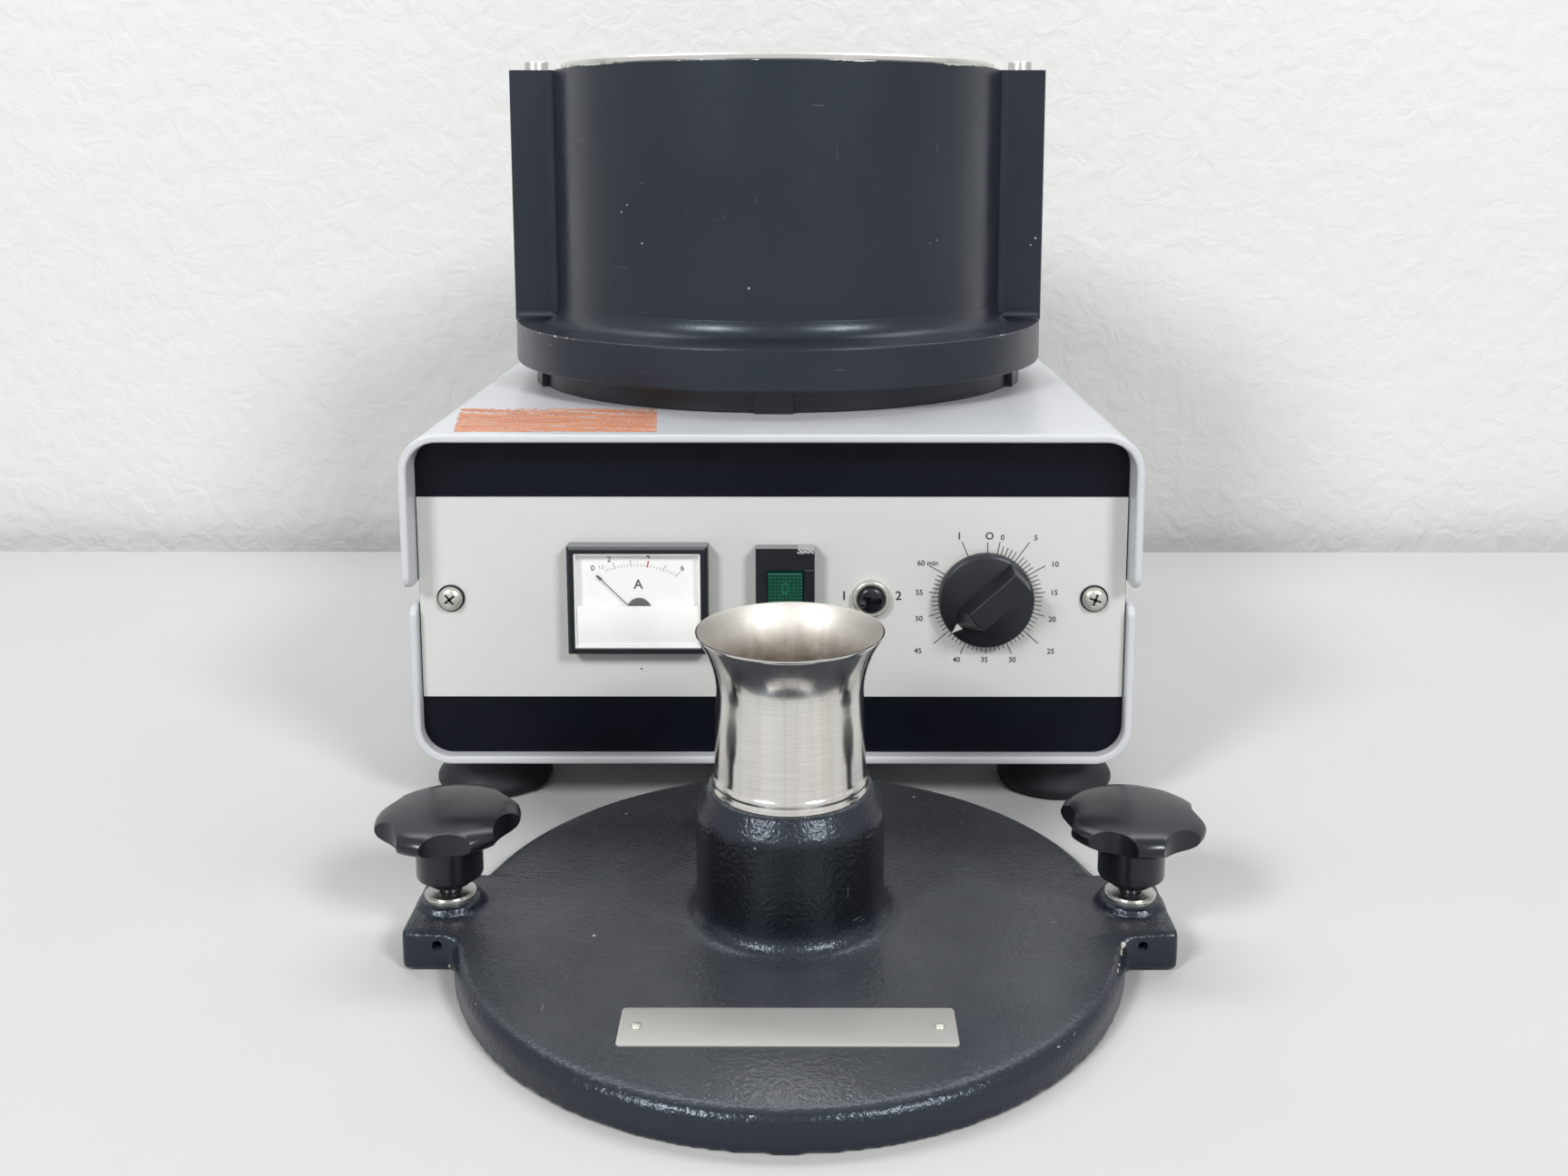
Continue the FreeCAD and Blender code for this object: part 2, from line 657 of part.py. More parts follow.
def lower_cover():
    """Lower cover: a rounded tray, open at the front and the rear, with vent slots."""
    body = new_body("lower_cover", y=panel_y - S.lower_overhang)
    outer, inner = half_width, inner_half
    low, high, floor = S.foot_height, lower_side_end, cover_floor
    tray = [
        (-outer + S.cover_corner, low), (outer - S.cover_corner, low, S.cover_corner, 1),
        (outer, low + S.cover_corner), (outer, high), (inner, high),
        (inner, floor + inner_corner, inner_corner, -1),
        (inner - inner_corner, floor), (-inner + inner_corner, floor, inner_corner, -1),
        (-inner, floor + inner_corner), (-inner, high), (-outer, high),
        (-outer, low + S.cover_corner, S.cover_corner, 1)]
    depth = S.hood_depth - S.hood_overhang + S.lower_overhang - S.rear_inset + S.plate_thickness
    pad(body, "XZ_Plane", [tray], depth, reverse=True)
    dress(body, "Fillet", S.rim_round, lambda edge: all(abs(v.Point.y) < 1e-4 for v in edge.Vertexes)
          and edge.BoundBox.YLength < 1e-4)
    slot_y = S.lower_overhang + S.axis_setback - S.vent_pitch * 2.5
    slot = pocket(body, "XY_Plane", [centred_box(S.vent_length, S.vent_width, 0, slot_y)],
                  S.cover_wall + S.overrun * 2, offset=cover_floor + S.overrun)
    linear(body, slot, "Y_Axis", S.vent_pitch * 5, 6)
    pocket(body, "XY_Plane", [], S.cover_wall + S.overrun * 2, offset=cover_floor + S.overrun,
           circles=foot_holes(panel_y - S.lower_overhang))
    return body


def plate_outline(margin):
    """The covers' inner outline, shrunk by a margin."""
    return rounded_box(-inner_half + margin, cover_floor + margin, inner_half - margin,
                       hood_under - margin, inner_corner - margin)


def control_cutouts():
    """Openings that the front plate and the panel share."""
    meter_z = control_line + S.meter_rise
    rocker_z = control_line + S.rocker_rise
    loops = [centred_box(S.rocker_frame_width - S.cover_wall, S.rocker_frame_height - S.cover_wall,
                         S.rocker_centre, rocker_z)]
    circles = [
        (-S.meter_centre, meter_z, S.meter_body_radius + S.fit_gap),
        (S.toggle_centre, control_line, S.toggle_dome_radius + S.fit_gap),
        (S.timer_centre, control_line, S.timer_shaft_radius * 2),
        (S.screw_spread, control_line, S.screw_shank_radius + S.fit_gap),
        (-S.screw_spread, control_line, S.screw_shank_radius + S.fit_gap)]
    return loops, circles


def front_plate():
    """Black plate that fills the cabinet's front."""
    body = new_body("front_plate", y=panel_y + S.panel_thickness)
    loops, circles = control_cutouts()
    pad(body, "XZ_Plane", [plate_outline(S.fit_gap)] + loops, S.plate_thickness,
        circles=circles, reverse=True)
    return body


def front_panel():
    """Bright panel across the middle of the front."""
    body = new_body("front_panel", y=panel_y)
    loops, circles = control_cutouts()
    half = inner_half - S.panel_side_gap
    outline = box_loop(-half, control_line - S.panel_height / 2, half, control_line + S.panel_height / 2)
    pad(body, "XZ_Plane", [outline] + loops, S.panel_thickness, circles=circles, reverse=True)
    return body


def rear_plate():
    """Black rear plate with two columns of vent slots and the gland's hole."""
    body = new_body("rear_plate", y=rear_plate_y)
    pad(body, "XZ_Plane", [plate_outline(S.fit_gap)], S.plate_thickness, reverse=True,
        circles=[(S.gland_spread, control_line, S.gland_radius / 2)])
    first = control_line - S.vent_pitch * 2.5
    slot = pocket(body, "XZ_Plane", [centred_box(S.vent_length, S.vent_width, 0, first),
                                     centred_box(S.vent_length, S.vent_width, -S.gland_spread, first)],
                  S.plate_thickness + S.overrun * 2, offset=S.overrun)
    linear(body, slot, "Z_Axis", S.vent_pitch * 5, 6)
    return body


def chassis():
    """Rounded sheet frame between the plates that the covers close round."""
    body = new_body("chassis", y=plate_back)
    half = inner_half - S.fit_gap
    wall = S.sheet_wall
    outer = rounded_box(-half, cover_floor, half, hood_under, S.frame_corner)
    inner = rounded_box(-half + wall, cover_floor + wall, half - wall, hood_under - wall,
                        S.frame_corner - wall)
    depth = rear_plate_y - plate_back
    pad(body, "XZ_Plane", [outer, inner], depth, reverse=True)
    centre = S.axis_setback - S.panel_thickness - S.plate_thickness
    pocket(body, "XY_Plane", [], wall + S.overrun * 2, offset=hood_under + S.overrun,
           circles=[(0, centre, S.motor_nose_radius + S.fit_gap)]
           + bolt_holes(centre, S.bolt_radius + S.fit_gap))
    pocket(body, "XY_Plane", [], wall + S.overrun * 2, offset=cover_floor + wall + S.overrun,
           circles=foot_holes(plate_back))
    reach = half - wall
    tab = S.screw_spread - S.bracket_width / 2
    low = control_line - S.bracket_width / 2
    high = control_line + S.bracket_width / 2
    pad(body, "XZ_Plane", [box_loop(tab, low, reach, high), box_loop(-reach, low, -tab, high)], wall,
        reverse=True, circles=[(side * S.screw_spread, control_line, S.screw_shank_radius)
                               for side in (-1, 1)])
    return body


def deck():
    """Stiff plate below the frame's top that carries the motor, the ring and the chamber."""
    body = new_body("deck", y=plate_back)
    half = inner_half - S.frame_corner
    centre = S.axis_setback - S.panel_thickness - S.plate_thickness
    pad(body, "XY_Plane", [box_loop(-half, 0, half, rear_plate_y - plate_back)], S.deck_thickness,
        circles=[(0, centre, S.motor_nose_radius + S.fit_gap)]
        + bolt_holes(centre, S.bolt_radius + S.fit_gap), offset=deck_under)
    return body


def foot(name, x, y):
    """Rubber foot: a cone that swells to a rounded lip, sunk below for its screw."""
    body = new_body(name, x=x, y=y)
    bore = S.foot_screw_radius + S.fit_gap
    sink = S.foot_screw_head + S.fit_gap
    seat = S.foot_height / 3
    turn(body, [
        (sink, 0), (S.foot_radius - S.foot_lip, 0, S.foot_lip, 1), (S.foot_radius, S.foot_lip),
        (S.foot_neck_radius, S.foot_height), (bore, S.foot_height), (bore, seat), (sink, seat)])
    return body


def foot_screw(name, x, y):
    """Pan head screw up through a foot, the cover and the chassis, with its nut."""
    body = new_body(name, x=x, y=y)
    seat = S.foot_height / 3
    clamped = cover_floor + S.sheet_wall
    top = clamped + S.foot_screw_head
    turn(body, [
        (0, seat - S.foot_screw_radius), (S.foot_screw_head, seat - S.foot_screw_radius),
        (S.foot_screw_head, seat), (S.foot_screw_radius, seat), (S.foot_screw_radius, clamped),
        (S.foot_screw_head, clamped), (S.foot_screw_head, clamped + S.foot_screw_radius),
        (S.foot_screw_radius, clamped + S.foot_screw_radius), (S.foot_screw_radius, top), (0, top)])
    return body


def panel_screw(name, side):
    """Pan head screw with a domed head, without its cross recess."""
    body = new_body(name, x=side * S.screw_spread, y=panel_y - S.washer_height, z=control_line)
    head = S.screw_head_height
    cap = dome(S.screw_head_radius, head * 2 / 3)
    turn(body, [
        (0, -S.screw_length), (S.screw_shank_radius, -S.screw_length), (S.screw_shank_radius, 0),
        (S.screw_head_radius, 0), (S.screw_head_radius, head / 3, cap, 1), (0, head)])
    body.Placement.Rotation = FreeCAD.Rotation(FreeCAD.Vector(1, 0, 0), 90)
    return body


def screw_washer(name, side):
    body = new_body(name, x=side * S.screw_spread, y=panel_y, z=control_line)
    bore = S.screw_shank_radius + S.fit_gap
    turn(body, [
        (bore, 0), (S.washer_radius, 0), (S.washer_radius, S.washer_height), (bore, S.washer_height)])
    body.Placement.Rotation = FreeCAD.Rotation(FreeCAD.Vector(1, 0, 0), 90)
    return body


def support_ring():
    """Black ring between the hood and the chamber, with five lugs."""
    body = new_body("support_ring", y=axis_y)
    pad(body, "XY_Plane", [], S.ring_height, offset=hood_top, circles=[
        (0, 0, S.ring_radius), (0, 0, S.ring_bore)] + bolt_holes(0, S.bolt_radius + S.fit_gap))
    reach = S.ring_radius + S.ring_lug_reach
    half = S.ring_lug_width / 2
    lug = pad(body, "XY_Plane", [box_loop(-half, -reach, half, S.overrun - S.ring_radius)],
              S.ring_height, offset=hood_top)
    polar(body, lug, 5)
    return body


def chamber_housing():
    """Cast grinding chamber: flange, wall, two ears, floor and bearing tower."""
    body = new_body("chamber_housing", y=axis_y)
    bore = chamber_bore
    under = flange_top
    tower_bore = S.bearing_radius
    bearing_seat = tower_top - S.seal_height - S.bearing_width
    cavity = S.tower_radius - S.chamber_floor
    shaft_way = S.shaft_radius + S.fit_gap * 3
    turn(body, [
        (S.ring_bore, ring_top), (S.flange_radius - S.edge_chamfer, ring_top),
        (S.flange_radius, ring_top + S.edge_chamfer), (S.flange_radius, flange_top - S.edge_chamfer),
        (S.flange_radius - S.edge_chamfer, flange_top),
        (S.chamber_radius + S.chamber_fillet, flange_top, S.chamber_fillet, -1),
        (S.chamber_radius, flange_top + S.chamber_fillet), (S.chamber_radius, chamber_top),
        (bore, chamber_top), (bore, chamber_floor_top), (S.tower_radius, chamber_floor_top),
        (S.tower_radius, tower_top), (tower_bore, tower_top), (tower_bore, bearing_seat),
        (shaft_way, bearing_seat), (shaft_way, bearing_seat - S.chamber_floor),
        (cavity, bearing_seat - S.chamber_floor), (cavity, under),
        (S.ring_bore, under)])
    half = S.ear_depth / 2
    round_side = S.flange_radius
    pad(body, "XY_Plane", [
        [(S.ear_inner, -half), (S.ear_outer, -half, round_side, 1), (S.ear_outer, half), (S.ear_inner, half)],
        [(-S.ear_inner, half), (-S.ear_outer, half, round_side, 1), (-S.ear_outer, -half),
         (-S.ear_inner, -half)]],
        S.chamber_height, offset=flange_top)
    pocket(body, "XY_Plane", [], S.bolt_root, offset=ring_top + S.bolt_root,
           circles=bolt_holes(0, S.bolt_radius))
    stud_hole = S.stud_radius
    pocket(body, "XY_Plane", [], S.stud_root,
           circles=[(S.stud_spread, 0, stud_hole), (-S.stud_spread, 0, stud_hole)], offset=chamber_top)
    return body


def lid_stud(name, side):
    """Tapped stud that a clamp screw enters."""
    body = new_body(name, x=side * S.stud_spread, y=axis_y)
    foot_z = chamber_top - S.stud_root
    top = chamber_top + S.stud_height
    turn(body, [
        (S.stud_bore, foot_z), (S.stud_radius, foot_z), (S.stud_radius, top - S.edge_chamfer),
        (S.stud_radius - S.edge_chamfer, top), (S.stud_bore, top)])
    return body


def deck_bolt(name, side, end):
    """Bolt up through the deck, the hood and the ring into the chamber's flange."""
    body = new_body(name, x=side * S.bolt_spread, y=axis_y + end * S.bolt_spread)
    top = ring_top + S.bolt_root
    low = deck_under - S.bolt_head_height
    turn(body, [
        (0, low), (S.bolt_head_radius, low), (S.bolt_head_radius, deck_under),
        (S.bolt_radius, deck_under), (S.bolt_radius, top), (0, top)])
    return body


def bearing(name, foot_z):
    """Sealed ball bearing: two races with a sunk seal between them."""
    body = new_body(name, y=axis_y)
    bore = S.shaft_radius + S.run_gap
    outer_wall = S.bearing_radius - S.race_wall
    inner_wall = bore + S.race_wall
    low = foot_z + S.seal_recess
    top = foot_z + S.bearing_width
    high = top - S.seal_recess
    turn(body, [
        (bore, foot_z), (inner_wall, foot_z), (inner_wall, low), (outer_wall, low),
        (outer_wall, foot_z), (S.bearing_radius, foot_z), (S.bearing_radius, top),
        (outer_wall, top), (outer_wall, high), (inner_wall, high), (inner_wall, top), (bore, top)])
    return body


def drive_shaft():
    """Shaft from the motor's lower bearing through the tower to the rotor's seat."""
    body = new_body("drive_shaft", y=axis_y)
    turn(body, [
        (0, shaft_foot), (S.shaft_radius, shaft_foot), (S.shaft_radius, rotor_foot),
        (S.shaft_nose_radius, rotor_foot), (S.shaft_nose_radius, rotor_foot + S.rotor_disc),
        (0, rotor_foot + S.rotor_disc)])
    return body


def shaft_seal():
    """Seal that closes the tower above the upper bearing."""
    body = new_body("shaft_seal", y=axis_y)
    bore = S.shaft_radius + S.run_gap
    low = tower_top - S.seal_height
    turn(body, [(bore, low), (S.bearing_radius, low), (S.bearing_radius, tower_top), (bore, tower_top)])
    return body


def motor_shell():
    """Motor shell that hangs from the deck, with a nose up into the chamber casting."""
    body = new_body("motor_shell", y=axis_y)
    wall = S.motor_wall
    inside = S.motor_radius - wall
    nose_top = deck_top + S.cover_wall
    way = S.shaft_radius * 2
    turn(body, [
        (inside, motor_foot), (S.motor_radius, motor_foot), (S.motor_radius, deck_under),
        (S.motor_nose_radius, deck_under), (S.motor_nose_radius, nose_top),
        (way, nose_top), (way, deck_under - wall), (inside, deck_under - wall)])
    slot_low = motor_foot + S.vent_pitch
    slot = pocket(body, "XZ_Plane", [box_loop(-S.vent_width, slot_low, S.vent_width, slot_low + S.fan_height)],
                  S.motor_radius + S.overrun)
    polar(body, slot, 12)
    return body


def motor_shield():
    """End shield with the lower bearing's cup and air slots."""
    body = new_body("motor_shield", y=axis_y)
    low = motor_foot - S.motor_wall
    cup = S.bearing_radius + S.motor_wall
    cup_top = lower_bearing_foot + S.bearing_width
    turn(body, [
        (0, low), (S.motor_radius, low), (S.motor_radius, motor_foot), (cup, motor_foot), (cup, cup_top),
        (S.bearing_radius, cup_top), (S.bearing_radius, lower_bearing_foot),
        (0, lower_bearing_foot)])
    middle = (S.motor_radius + cup) / 2
    slot = pocket(body, "XY_Plane", [centred_box(S.vent_width, S.vent_pitch * 2, 0, middle)],
                  S.motor_wall + S.overrun * 2, offset=motor_foot + S.overrun)
    polar(body, slot, 12)
    return body


def stator():
    """Laminated stator with its winding heads."""
    body = new_body("stator", y=axis_y)
    outside = S.motor_radius - S.motor_wall
    head = outside - S.motor_wall
    low = stator_foot
    high = low + S.stator_height
    turn(body, [
        (S.stator_bore, low - S.winding_height), (head, low - S.winding_height), (head, low),
        (outside, low), (outside, high), (head, high), (head, high + S.winding_height),
        (S.stator_bore, high + S.winding_height)])
    return body


def armature():
    """Laminated armature with its winding heads and the commutator below."""
    body = new_body("armature", y=axis_y)
    low = stator_foot
    high = low + S.stator_height
    head = S.armature_radius - S.motor_wall
    foot_z = low - S.winding_height
    turn(body, [
        (S.shaft_radius, foot_z - S.commutator_height), (S.commutator_radius, foot_z - S.commutator_height),
        (S.commutator_radius, foot_z), (head, foot_z), (head, low), (S.armature_radius, low),
        (S.armature_radius, high), (head, high), (head, high + S.winding_height),
        (S.shaft_radius, high + S.winding_height)])
    slot = pocket(body, "XY_Plane", [box_loop(head, -S.run_gap * 20, S.armature_radius + S.overrun,
                                              S.run_gap * 20)],
                  S.stator_height, offset=high)
    polar(body, slot, 16)
    return body


def carbon_brushes():
    """Two carbon brushes that ride on the commutator."""
    body = new_body("carbon_brushes", y=axis_y)
    low = stator_foot - S.winding_height - S.commutator_height / 2 - S.brush_height / 2
    start = S.commutator_radius + S.run_gap
    finish = S.motor_radius - S.motor_wall - S.fit_gap * 2 - S.brush_holder_wall
    half = S.brush_width / 2
    pad(body, "XY_Plane", [box_loop(start, -half, finish, half), box_loop(-finish, -half, -start, half)],
        S.brush_height, offset=low)
    return body


def brush_holders():
    """Square tubes that guide the brushes, fixed in the motor shell."""
    body = new_body("brush_holders", y=axis_y)
    wall = S.brush_holder_wall
    low = stator_foot - S.winding_height - S.commutator_height / 2 - S.brush_height / 2
    start = S.commutator_radius + wall
    finish = S.motor_radius - S.motor_wall - S.fit_gap * 2
    end_wall = finish - wall
    half = S.brush_width / 2
    pad(body, "XY_Plane", [box_loop(start, -half - wall, finish, half + wall),
                           box_loop(-finish, -half - wall, -start, half + wall)],
        S.brush_height + wall * 2, offset=low - wall)
    pocket(body, "XY_Plane", [box_loop(start - wall, -half, end_wall, half),
                              box_loop(-end_wall, -half, wall - start, half)],
           S.brush_height, offset=low + S.brush_height)
    return body


def cooling_fan():
    """Fan on the shaft above the armature."""
    body = new_body("cooling_fan", y=axis_y)
    low = fan_foot
    hub = S.shaft_radius + S.motor_wall
    turn(body, [
        (S.shaft_radius, low), (S.fan_radius, low), (S.fan_radius, low + S.fan_disc),
        (hub, low + S.fan_disc), (hub, low + S.fan_height), (S.shaft_radius, low + S.fan_height)])
    half = S.fan_disc / 2
    blade = pad(body, "XY_Plane", [box_loop(hub - S.fan_disc, -half, S.fan_radius - half, half)],
                S.fan_height, offset=low)
    polar(body, blade, 9)
    return body


def collecting_pan():
    """Bright ring pan that hangs in the chamber by its lip and carries the ring sieve."""
    body = new_body("collecting_pan", y=axis_y)
    wall = S.pan_wall
    low = chamber_floor_top + S.overrun
    lip = S.pan_radius + S.pan_rise
    seat = sieve_foot
    outer_seat = S.sieve_radius + S.sieve_wall + S.sieve_seat
    turn(body, [
        (S.pan_inner_radius, low), (S.pan_radius, low), (S.pan_radius, chamber_top),
        (lip, chamber_top), (lip, chamber_top + S.pan_rise), (S.pan_radius - wall, chamber_top + S.pan_rise),
        (S.pan_radius - wall, low + wall), (S.pan_inner_radius + wall, low + wall),
        (S.pan_inner_radius + wall, seat - wall), (outer_seat, seat - wall), (outer_seat, seat),
        (S.pan_inner_radius, seat)])
    return body


def ring_sieve():
    """Ring sieve: a thin band with rows of windows between two plain rims."""
    body = new_body("ring_sieve", y=axis_y)
    inside = S.sieve_radius
    outside = inside + S.sieve_wall
    top = sieve_foot + S.sieve_height
    turn(body, [(inside, sieve_foot), (outside, sieve_foot), (outside, top), (inside, top)])
    low = sieve_foot + (S.sieve_height - S.sieve_slot_height) / 2
    half = S.sieve_slot_width / 2
    window = pocket(body, "XZ_Plane", [box_loop(-half, low, half, low + S.sieve_slot_height)],
                    outside + S.overrun)
    polar(body, window, 36)
    return body


def milling_rotor():
    """Rotor with twelve wedge teeth round a disc and a hub with a grip."""
    body = new_body("milling_rotor", y=axis_y)
    low = rotor_foot
    root = S.rotor_radius - S.tooth_depth
    disc_top = low + S.rotor_disc
    hub_top = low + S.rotor_hub_height
    shoulder = S.rotor_hub_radius - S.shaft_nose_radius / 2
    turn(body, [
        (S.shaft_nose_radius + S.run_gap, low), (root + S.tooth_tip, low), (root + S.tooth_tip, disc_top),
        (S.rotor_hub_radius, disc_top), (shoulder, hub_top), (0, hub_top), (0, disc_top + S.fit_gap),
        (S.shaft_nose_radius + S.run_gap, disc_top + S.fit_gap)])
    half = S.tooth_width / 2
    tip = S.tooth_tip / 2
    tooth = pad(body, "XY_Plane", [[(root, -half), (S.rotor_radius, -tip), (S.rotor_radius, tip), (root, half)]],
                S.rotor_height, offset=low)
    polar(body, tooth, 12)
    return body


def meter_frame():
    """Black frame of the ammeter with its round body behind the panel."""
    body = new_body("meter_frame", x=-S.meter_centre, y=panel_y)
    centre = control_line + S.meter_rise
    wall = S.meter_frame_wall
    outer = centred_box(S.meter_width, S.meter_height, 0, centre)
    inner = centred_box(S.meter_width - wall * 2, S.meter_height - wall * 2, 0, centre)
    pad(body, "XZ_Plane", [outer], S.meter_front)
    pocket(body, "XZ_Plane", [inner], S.meter_dial_depth, offset=S.meter_front)
    dress(body, "Chamfer", S.edge_chamfer * 1.5, lambda edge: all(
        abs(v.Point.y + flat(S.meter_front)) < 1e-4 for v in edge.Vertexes)
        and max(abs(v.Point.x) for v in edge.Vertexes) > flat(S.meter_width) / 2 - 1e-3)
    pad(body, "XZ_Plane", [], S.meter_body_depth, circles=[(0, centre, S.meter_body_radius)],
        reverse=True)
    pocket(body, "XZ_Plane", [], S.meter_front + S.meter_body_depth - wall,
           circles=[(0, needle_z, needle_way)], offset=S.meter_front)
    return body


def meter_dial():
    """White dial sheet with a hole for the needle's pivot."""
    body = new_body("meter_dial", x=-S.meter_centre, y=panel_y - S.meter_front + S.meter_dial_depth)
    centre = control_line + S.meter_rise
    margin = (S.meter_frame_wall + S.fit_gap) * 2
    pad(body, "XZ_Plane", [centred_box(S.meter_width - margin, S.meter_height - margin, 0, centre)],
        S.meter_dial_plate, circles=[(0, needle_z, needle_way)])
    return body


def meter_mask():
    """White cover over the meter's lower part, on a block at its foot."""
    front = S.meter_dial_plate + S.meter_mask_depth
    body = new_body("meter_mask", x=-S.meter_centre,
                    y=panel_y - S.meter_front + S.meter_dial_depth - front)
    centre = control_line + S.meter_rise
    half = S.meter_width / 2 - S.meter_frame_wall - S.fit_gap
    low = centre - S.meter_height / 2 + S.meter_frame_wall + S.fit_gap
    pad(body, "XZ_Plane", [box_loop(-half, low, half, low + S.meter_mask_height)], S.meter_mask_sheet)
    pad(body, "XZ_Plane", [box_loop(-half, low, half, low + S.meter_mask_height / 2)],
        S.meter_mask_depth, reverse=True)
    return body


def meter_glass():
    """Clear pane in front of the dial."""
    body = new_body("meter_glass", x=-S.meter_centre, y=panel_y - S.meter_front + S.meter_glass_plate
                    + S.edge_chamfer / 2)
    centre = control_line + S.meter_rise
    margin = (S.meter_frame_wall + S.run_gap) * 2
    pad(body, "XZ_Plane", [centred_box(S.meter_width - margin, S.meter_height - margin, 0, centre)],
        S.meter_glass_plate)
    return body


def meter_needle():
    """Needle on its pivot, drawn upright and turned to its resting reading."""
    body = new_body("meter_needle", x=-S.meter_centre, z=needle_z,
                    y=panel_y - S.meter_front + S.meter_dial_depth - S.meter_dial_plate - S.needle_lift)
    half = S.needle_width / 2
    pad(body, "XZ_Plane", [[(-half, 0), (half, 0), (half, S.needle_length), (-half, S.needle_length)]],
        S.needle_width)
    pad(body, "XZ_Plane", [], S.needle_width, circles=[(0, 0, S.needle_hub_radius)])
    back = S.needle_lift + S.meter_body_depth / 2
    pad(body, "XZ_Plane", [], back, circles=[(0, 0, S.needle_width)], reverse=True)
    body.Placement.Rotation = FreeCAD.Rotation(FreeCAD.Vector(0, 1, 0), -NEEDLE_REST)
    doc.recompute()
    return body


def rocker_frame():
    """Black frame and body of the rocker switch."""
    body = new_body("rocker_frame", x=S.rocker_centre, y=panel_y)
    centre = control_line + S.rocker_rise
    wall = S.cover_wall / 2
    pad(body, "XZ_Plane", [centred_box(S.rocker_frame_width, S.rocker_frame_height, 0, centre)],
        S.rocker_frame_front)
    pad(body, "XZ_Plane", [centred_box(S.rocker_frame_width - wall * 2 - S.fit_gap * 2,
                                       S.rocker_frame_height - wall * 2 - S.fit_gap * 2, 0, centre)],
        S.rocker_body_depth, reverse=True)
    pocket(body, "XZ_Plane", [centred_box(S.rocker_width + S.fit_gap * 2, S.rocker_height + S.overrun * 2,
                                          0, centre)],
           S.rocker_frame_front + S.rocker_pocket, offset=S.rocker_frame_front)
    pad(body, "YZ_Plane", [], S.rocker_width + S.fit_gap * 4, both=True,
        circles=[(S.rocker_pivot - S.rocker_frame_front, centre, S.rocker_pin)])
    return body


def rocker():
    """Green rocker with one raised half, on its cross pivot."""
    body = new_body("rocker", x=S.rocker_centre, y=panel_y - S.rocker_frame_front + S.rocker_pivot,
                    z=control_line + S.rocker_rise)
    half = S.rocker_height / 2
    face = S.rocker_pivot
    low = S.rocker_pivot - S.rocker_swell
    back = S.rocker_pivot + S.rocker_swell
    profile = [
        (-low, -half), (-face, 0), (-face - S.rocker_swell, half), (S.rocker_swell, half / 2),
        (back, 0), (S.rocker_swell, -half / 2)]
    pad(body, "YZ_Plane", [profile], S.rocker_width, both=True, circles=[(0, 0, S.rocker_pin + S.run_gap)])
    return body


def toggle_nut():
    """Bright ring nut of the toggle switch."""
    body = new_body("toggle_nut", x=S.toggle_centre, y=panel_y, z=control_line)
    pad(body, "XZ_Plane", [], S.toggle_nut_height,
        circles=[(0, 0, S.toggle_nut_radius), (0, 0, S.toggle_dome_radius + S.fit_gap)])
    dress(body, "Fillet", S.edge_chamfer, lambda edge: isinstance(edge.Curve, Part.Circle)
          and abs(edge.Curve.Radius - flat(S.toggle_nut_radius)) < 1e-4
          and abs(edge.Curve.Center.y + flat(S.toggle_nut_height)) < 1e-4)
    return body


def toggle_body():
    """Toggle switch: threaded bush with a slotted dome and a box behind the panel."""
    body = new_body("toggle_body", x=S.toggle_centre, y=panel_y, z=control_line)
    back = S.panel_thickness + S.plate_thickness
    pad(body, "XZ_Plane", [], S.toggle_dome_height, circles=[(0, 0, S.toggle_dome_radius)])
    pad(body, "XZ_Plane", [], back, circles=[(0, 0, S.toggle_dome_radius)], reverse=True)
    pad(body, "XZ_Plane", [centred_box(S.toggle_body_width, S.toggle_body_width * 1.6)],
        S.toggle_body_depth, offset=-back, reverse=True)
    dress(body, "Fillet", S.edge_chamfer * 1.5, lambda edge: isinstance(edge.Curve, Part.Circle)
          and abs(edge.Curve.Center.y + flat(S.toggle_dome_height)) < 1e-4)
    reach = S.toggle_dome_radius - S.edge_chamfer * 1.6
    pocket(body, "XZ_Plane", [centred_box(reach * 2, S.toggle_slot_width)],
           S.toggle_dome_height + S.toggle_pivot_depth + S.toggle_lever_radius * 2,
           offset=S.toggle_dome_height)
    return body


def toggle_lever():
    """Short lever in the dome's slot, tipped to position 1."""
    body = new_body("toggle_lever", x=S.toggle_centre, y=panel_y + S.toggle_pivot_depth, z=control_line)
    pad(body, "XZ_Plane", [], S.toggle_lever_reach, circles=[(0, 0, S.toggle_lever_radius)])
    pad(body, "XY_Plane", [], S.toggle_lever_radius * 2 + S.run_gap * 4, both=True,
        circles=[(0, 0, S.toggle_barrel_radius)])
    body.Placement.Rotation = FreeCAD.Rotation(FreeCAD.Vector(0, 0, 1), -TOGGLE_REST)
    doc.recompute()
    return body


def timer_body():
    """Clockwork timer behind the panel with the bush that carries its shaft."""
    body = new_body("timer_body", x=S.timer_centre, y=plate_back, z=control_line)
    pad(body, "XZ_Plane", [centred_box(S.timer_body_width, S.timer_body_width)], S.timer_body_depth,
        circles=[(0, 0, S.timer_shaft_radius + S.run_gap)], reverse=True)
    return body


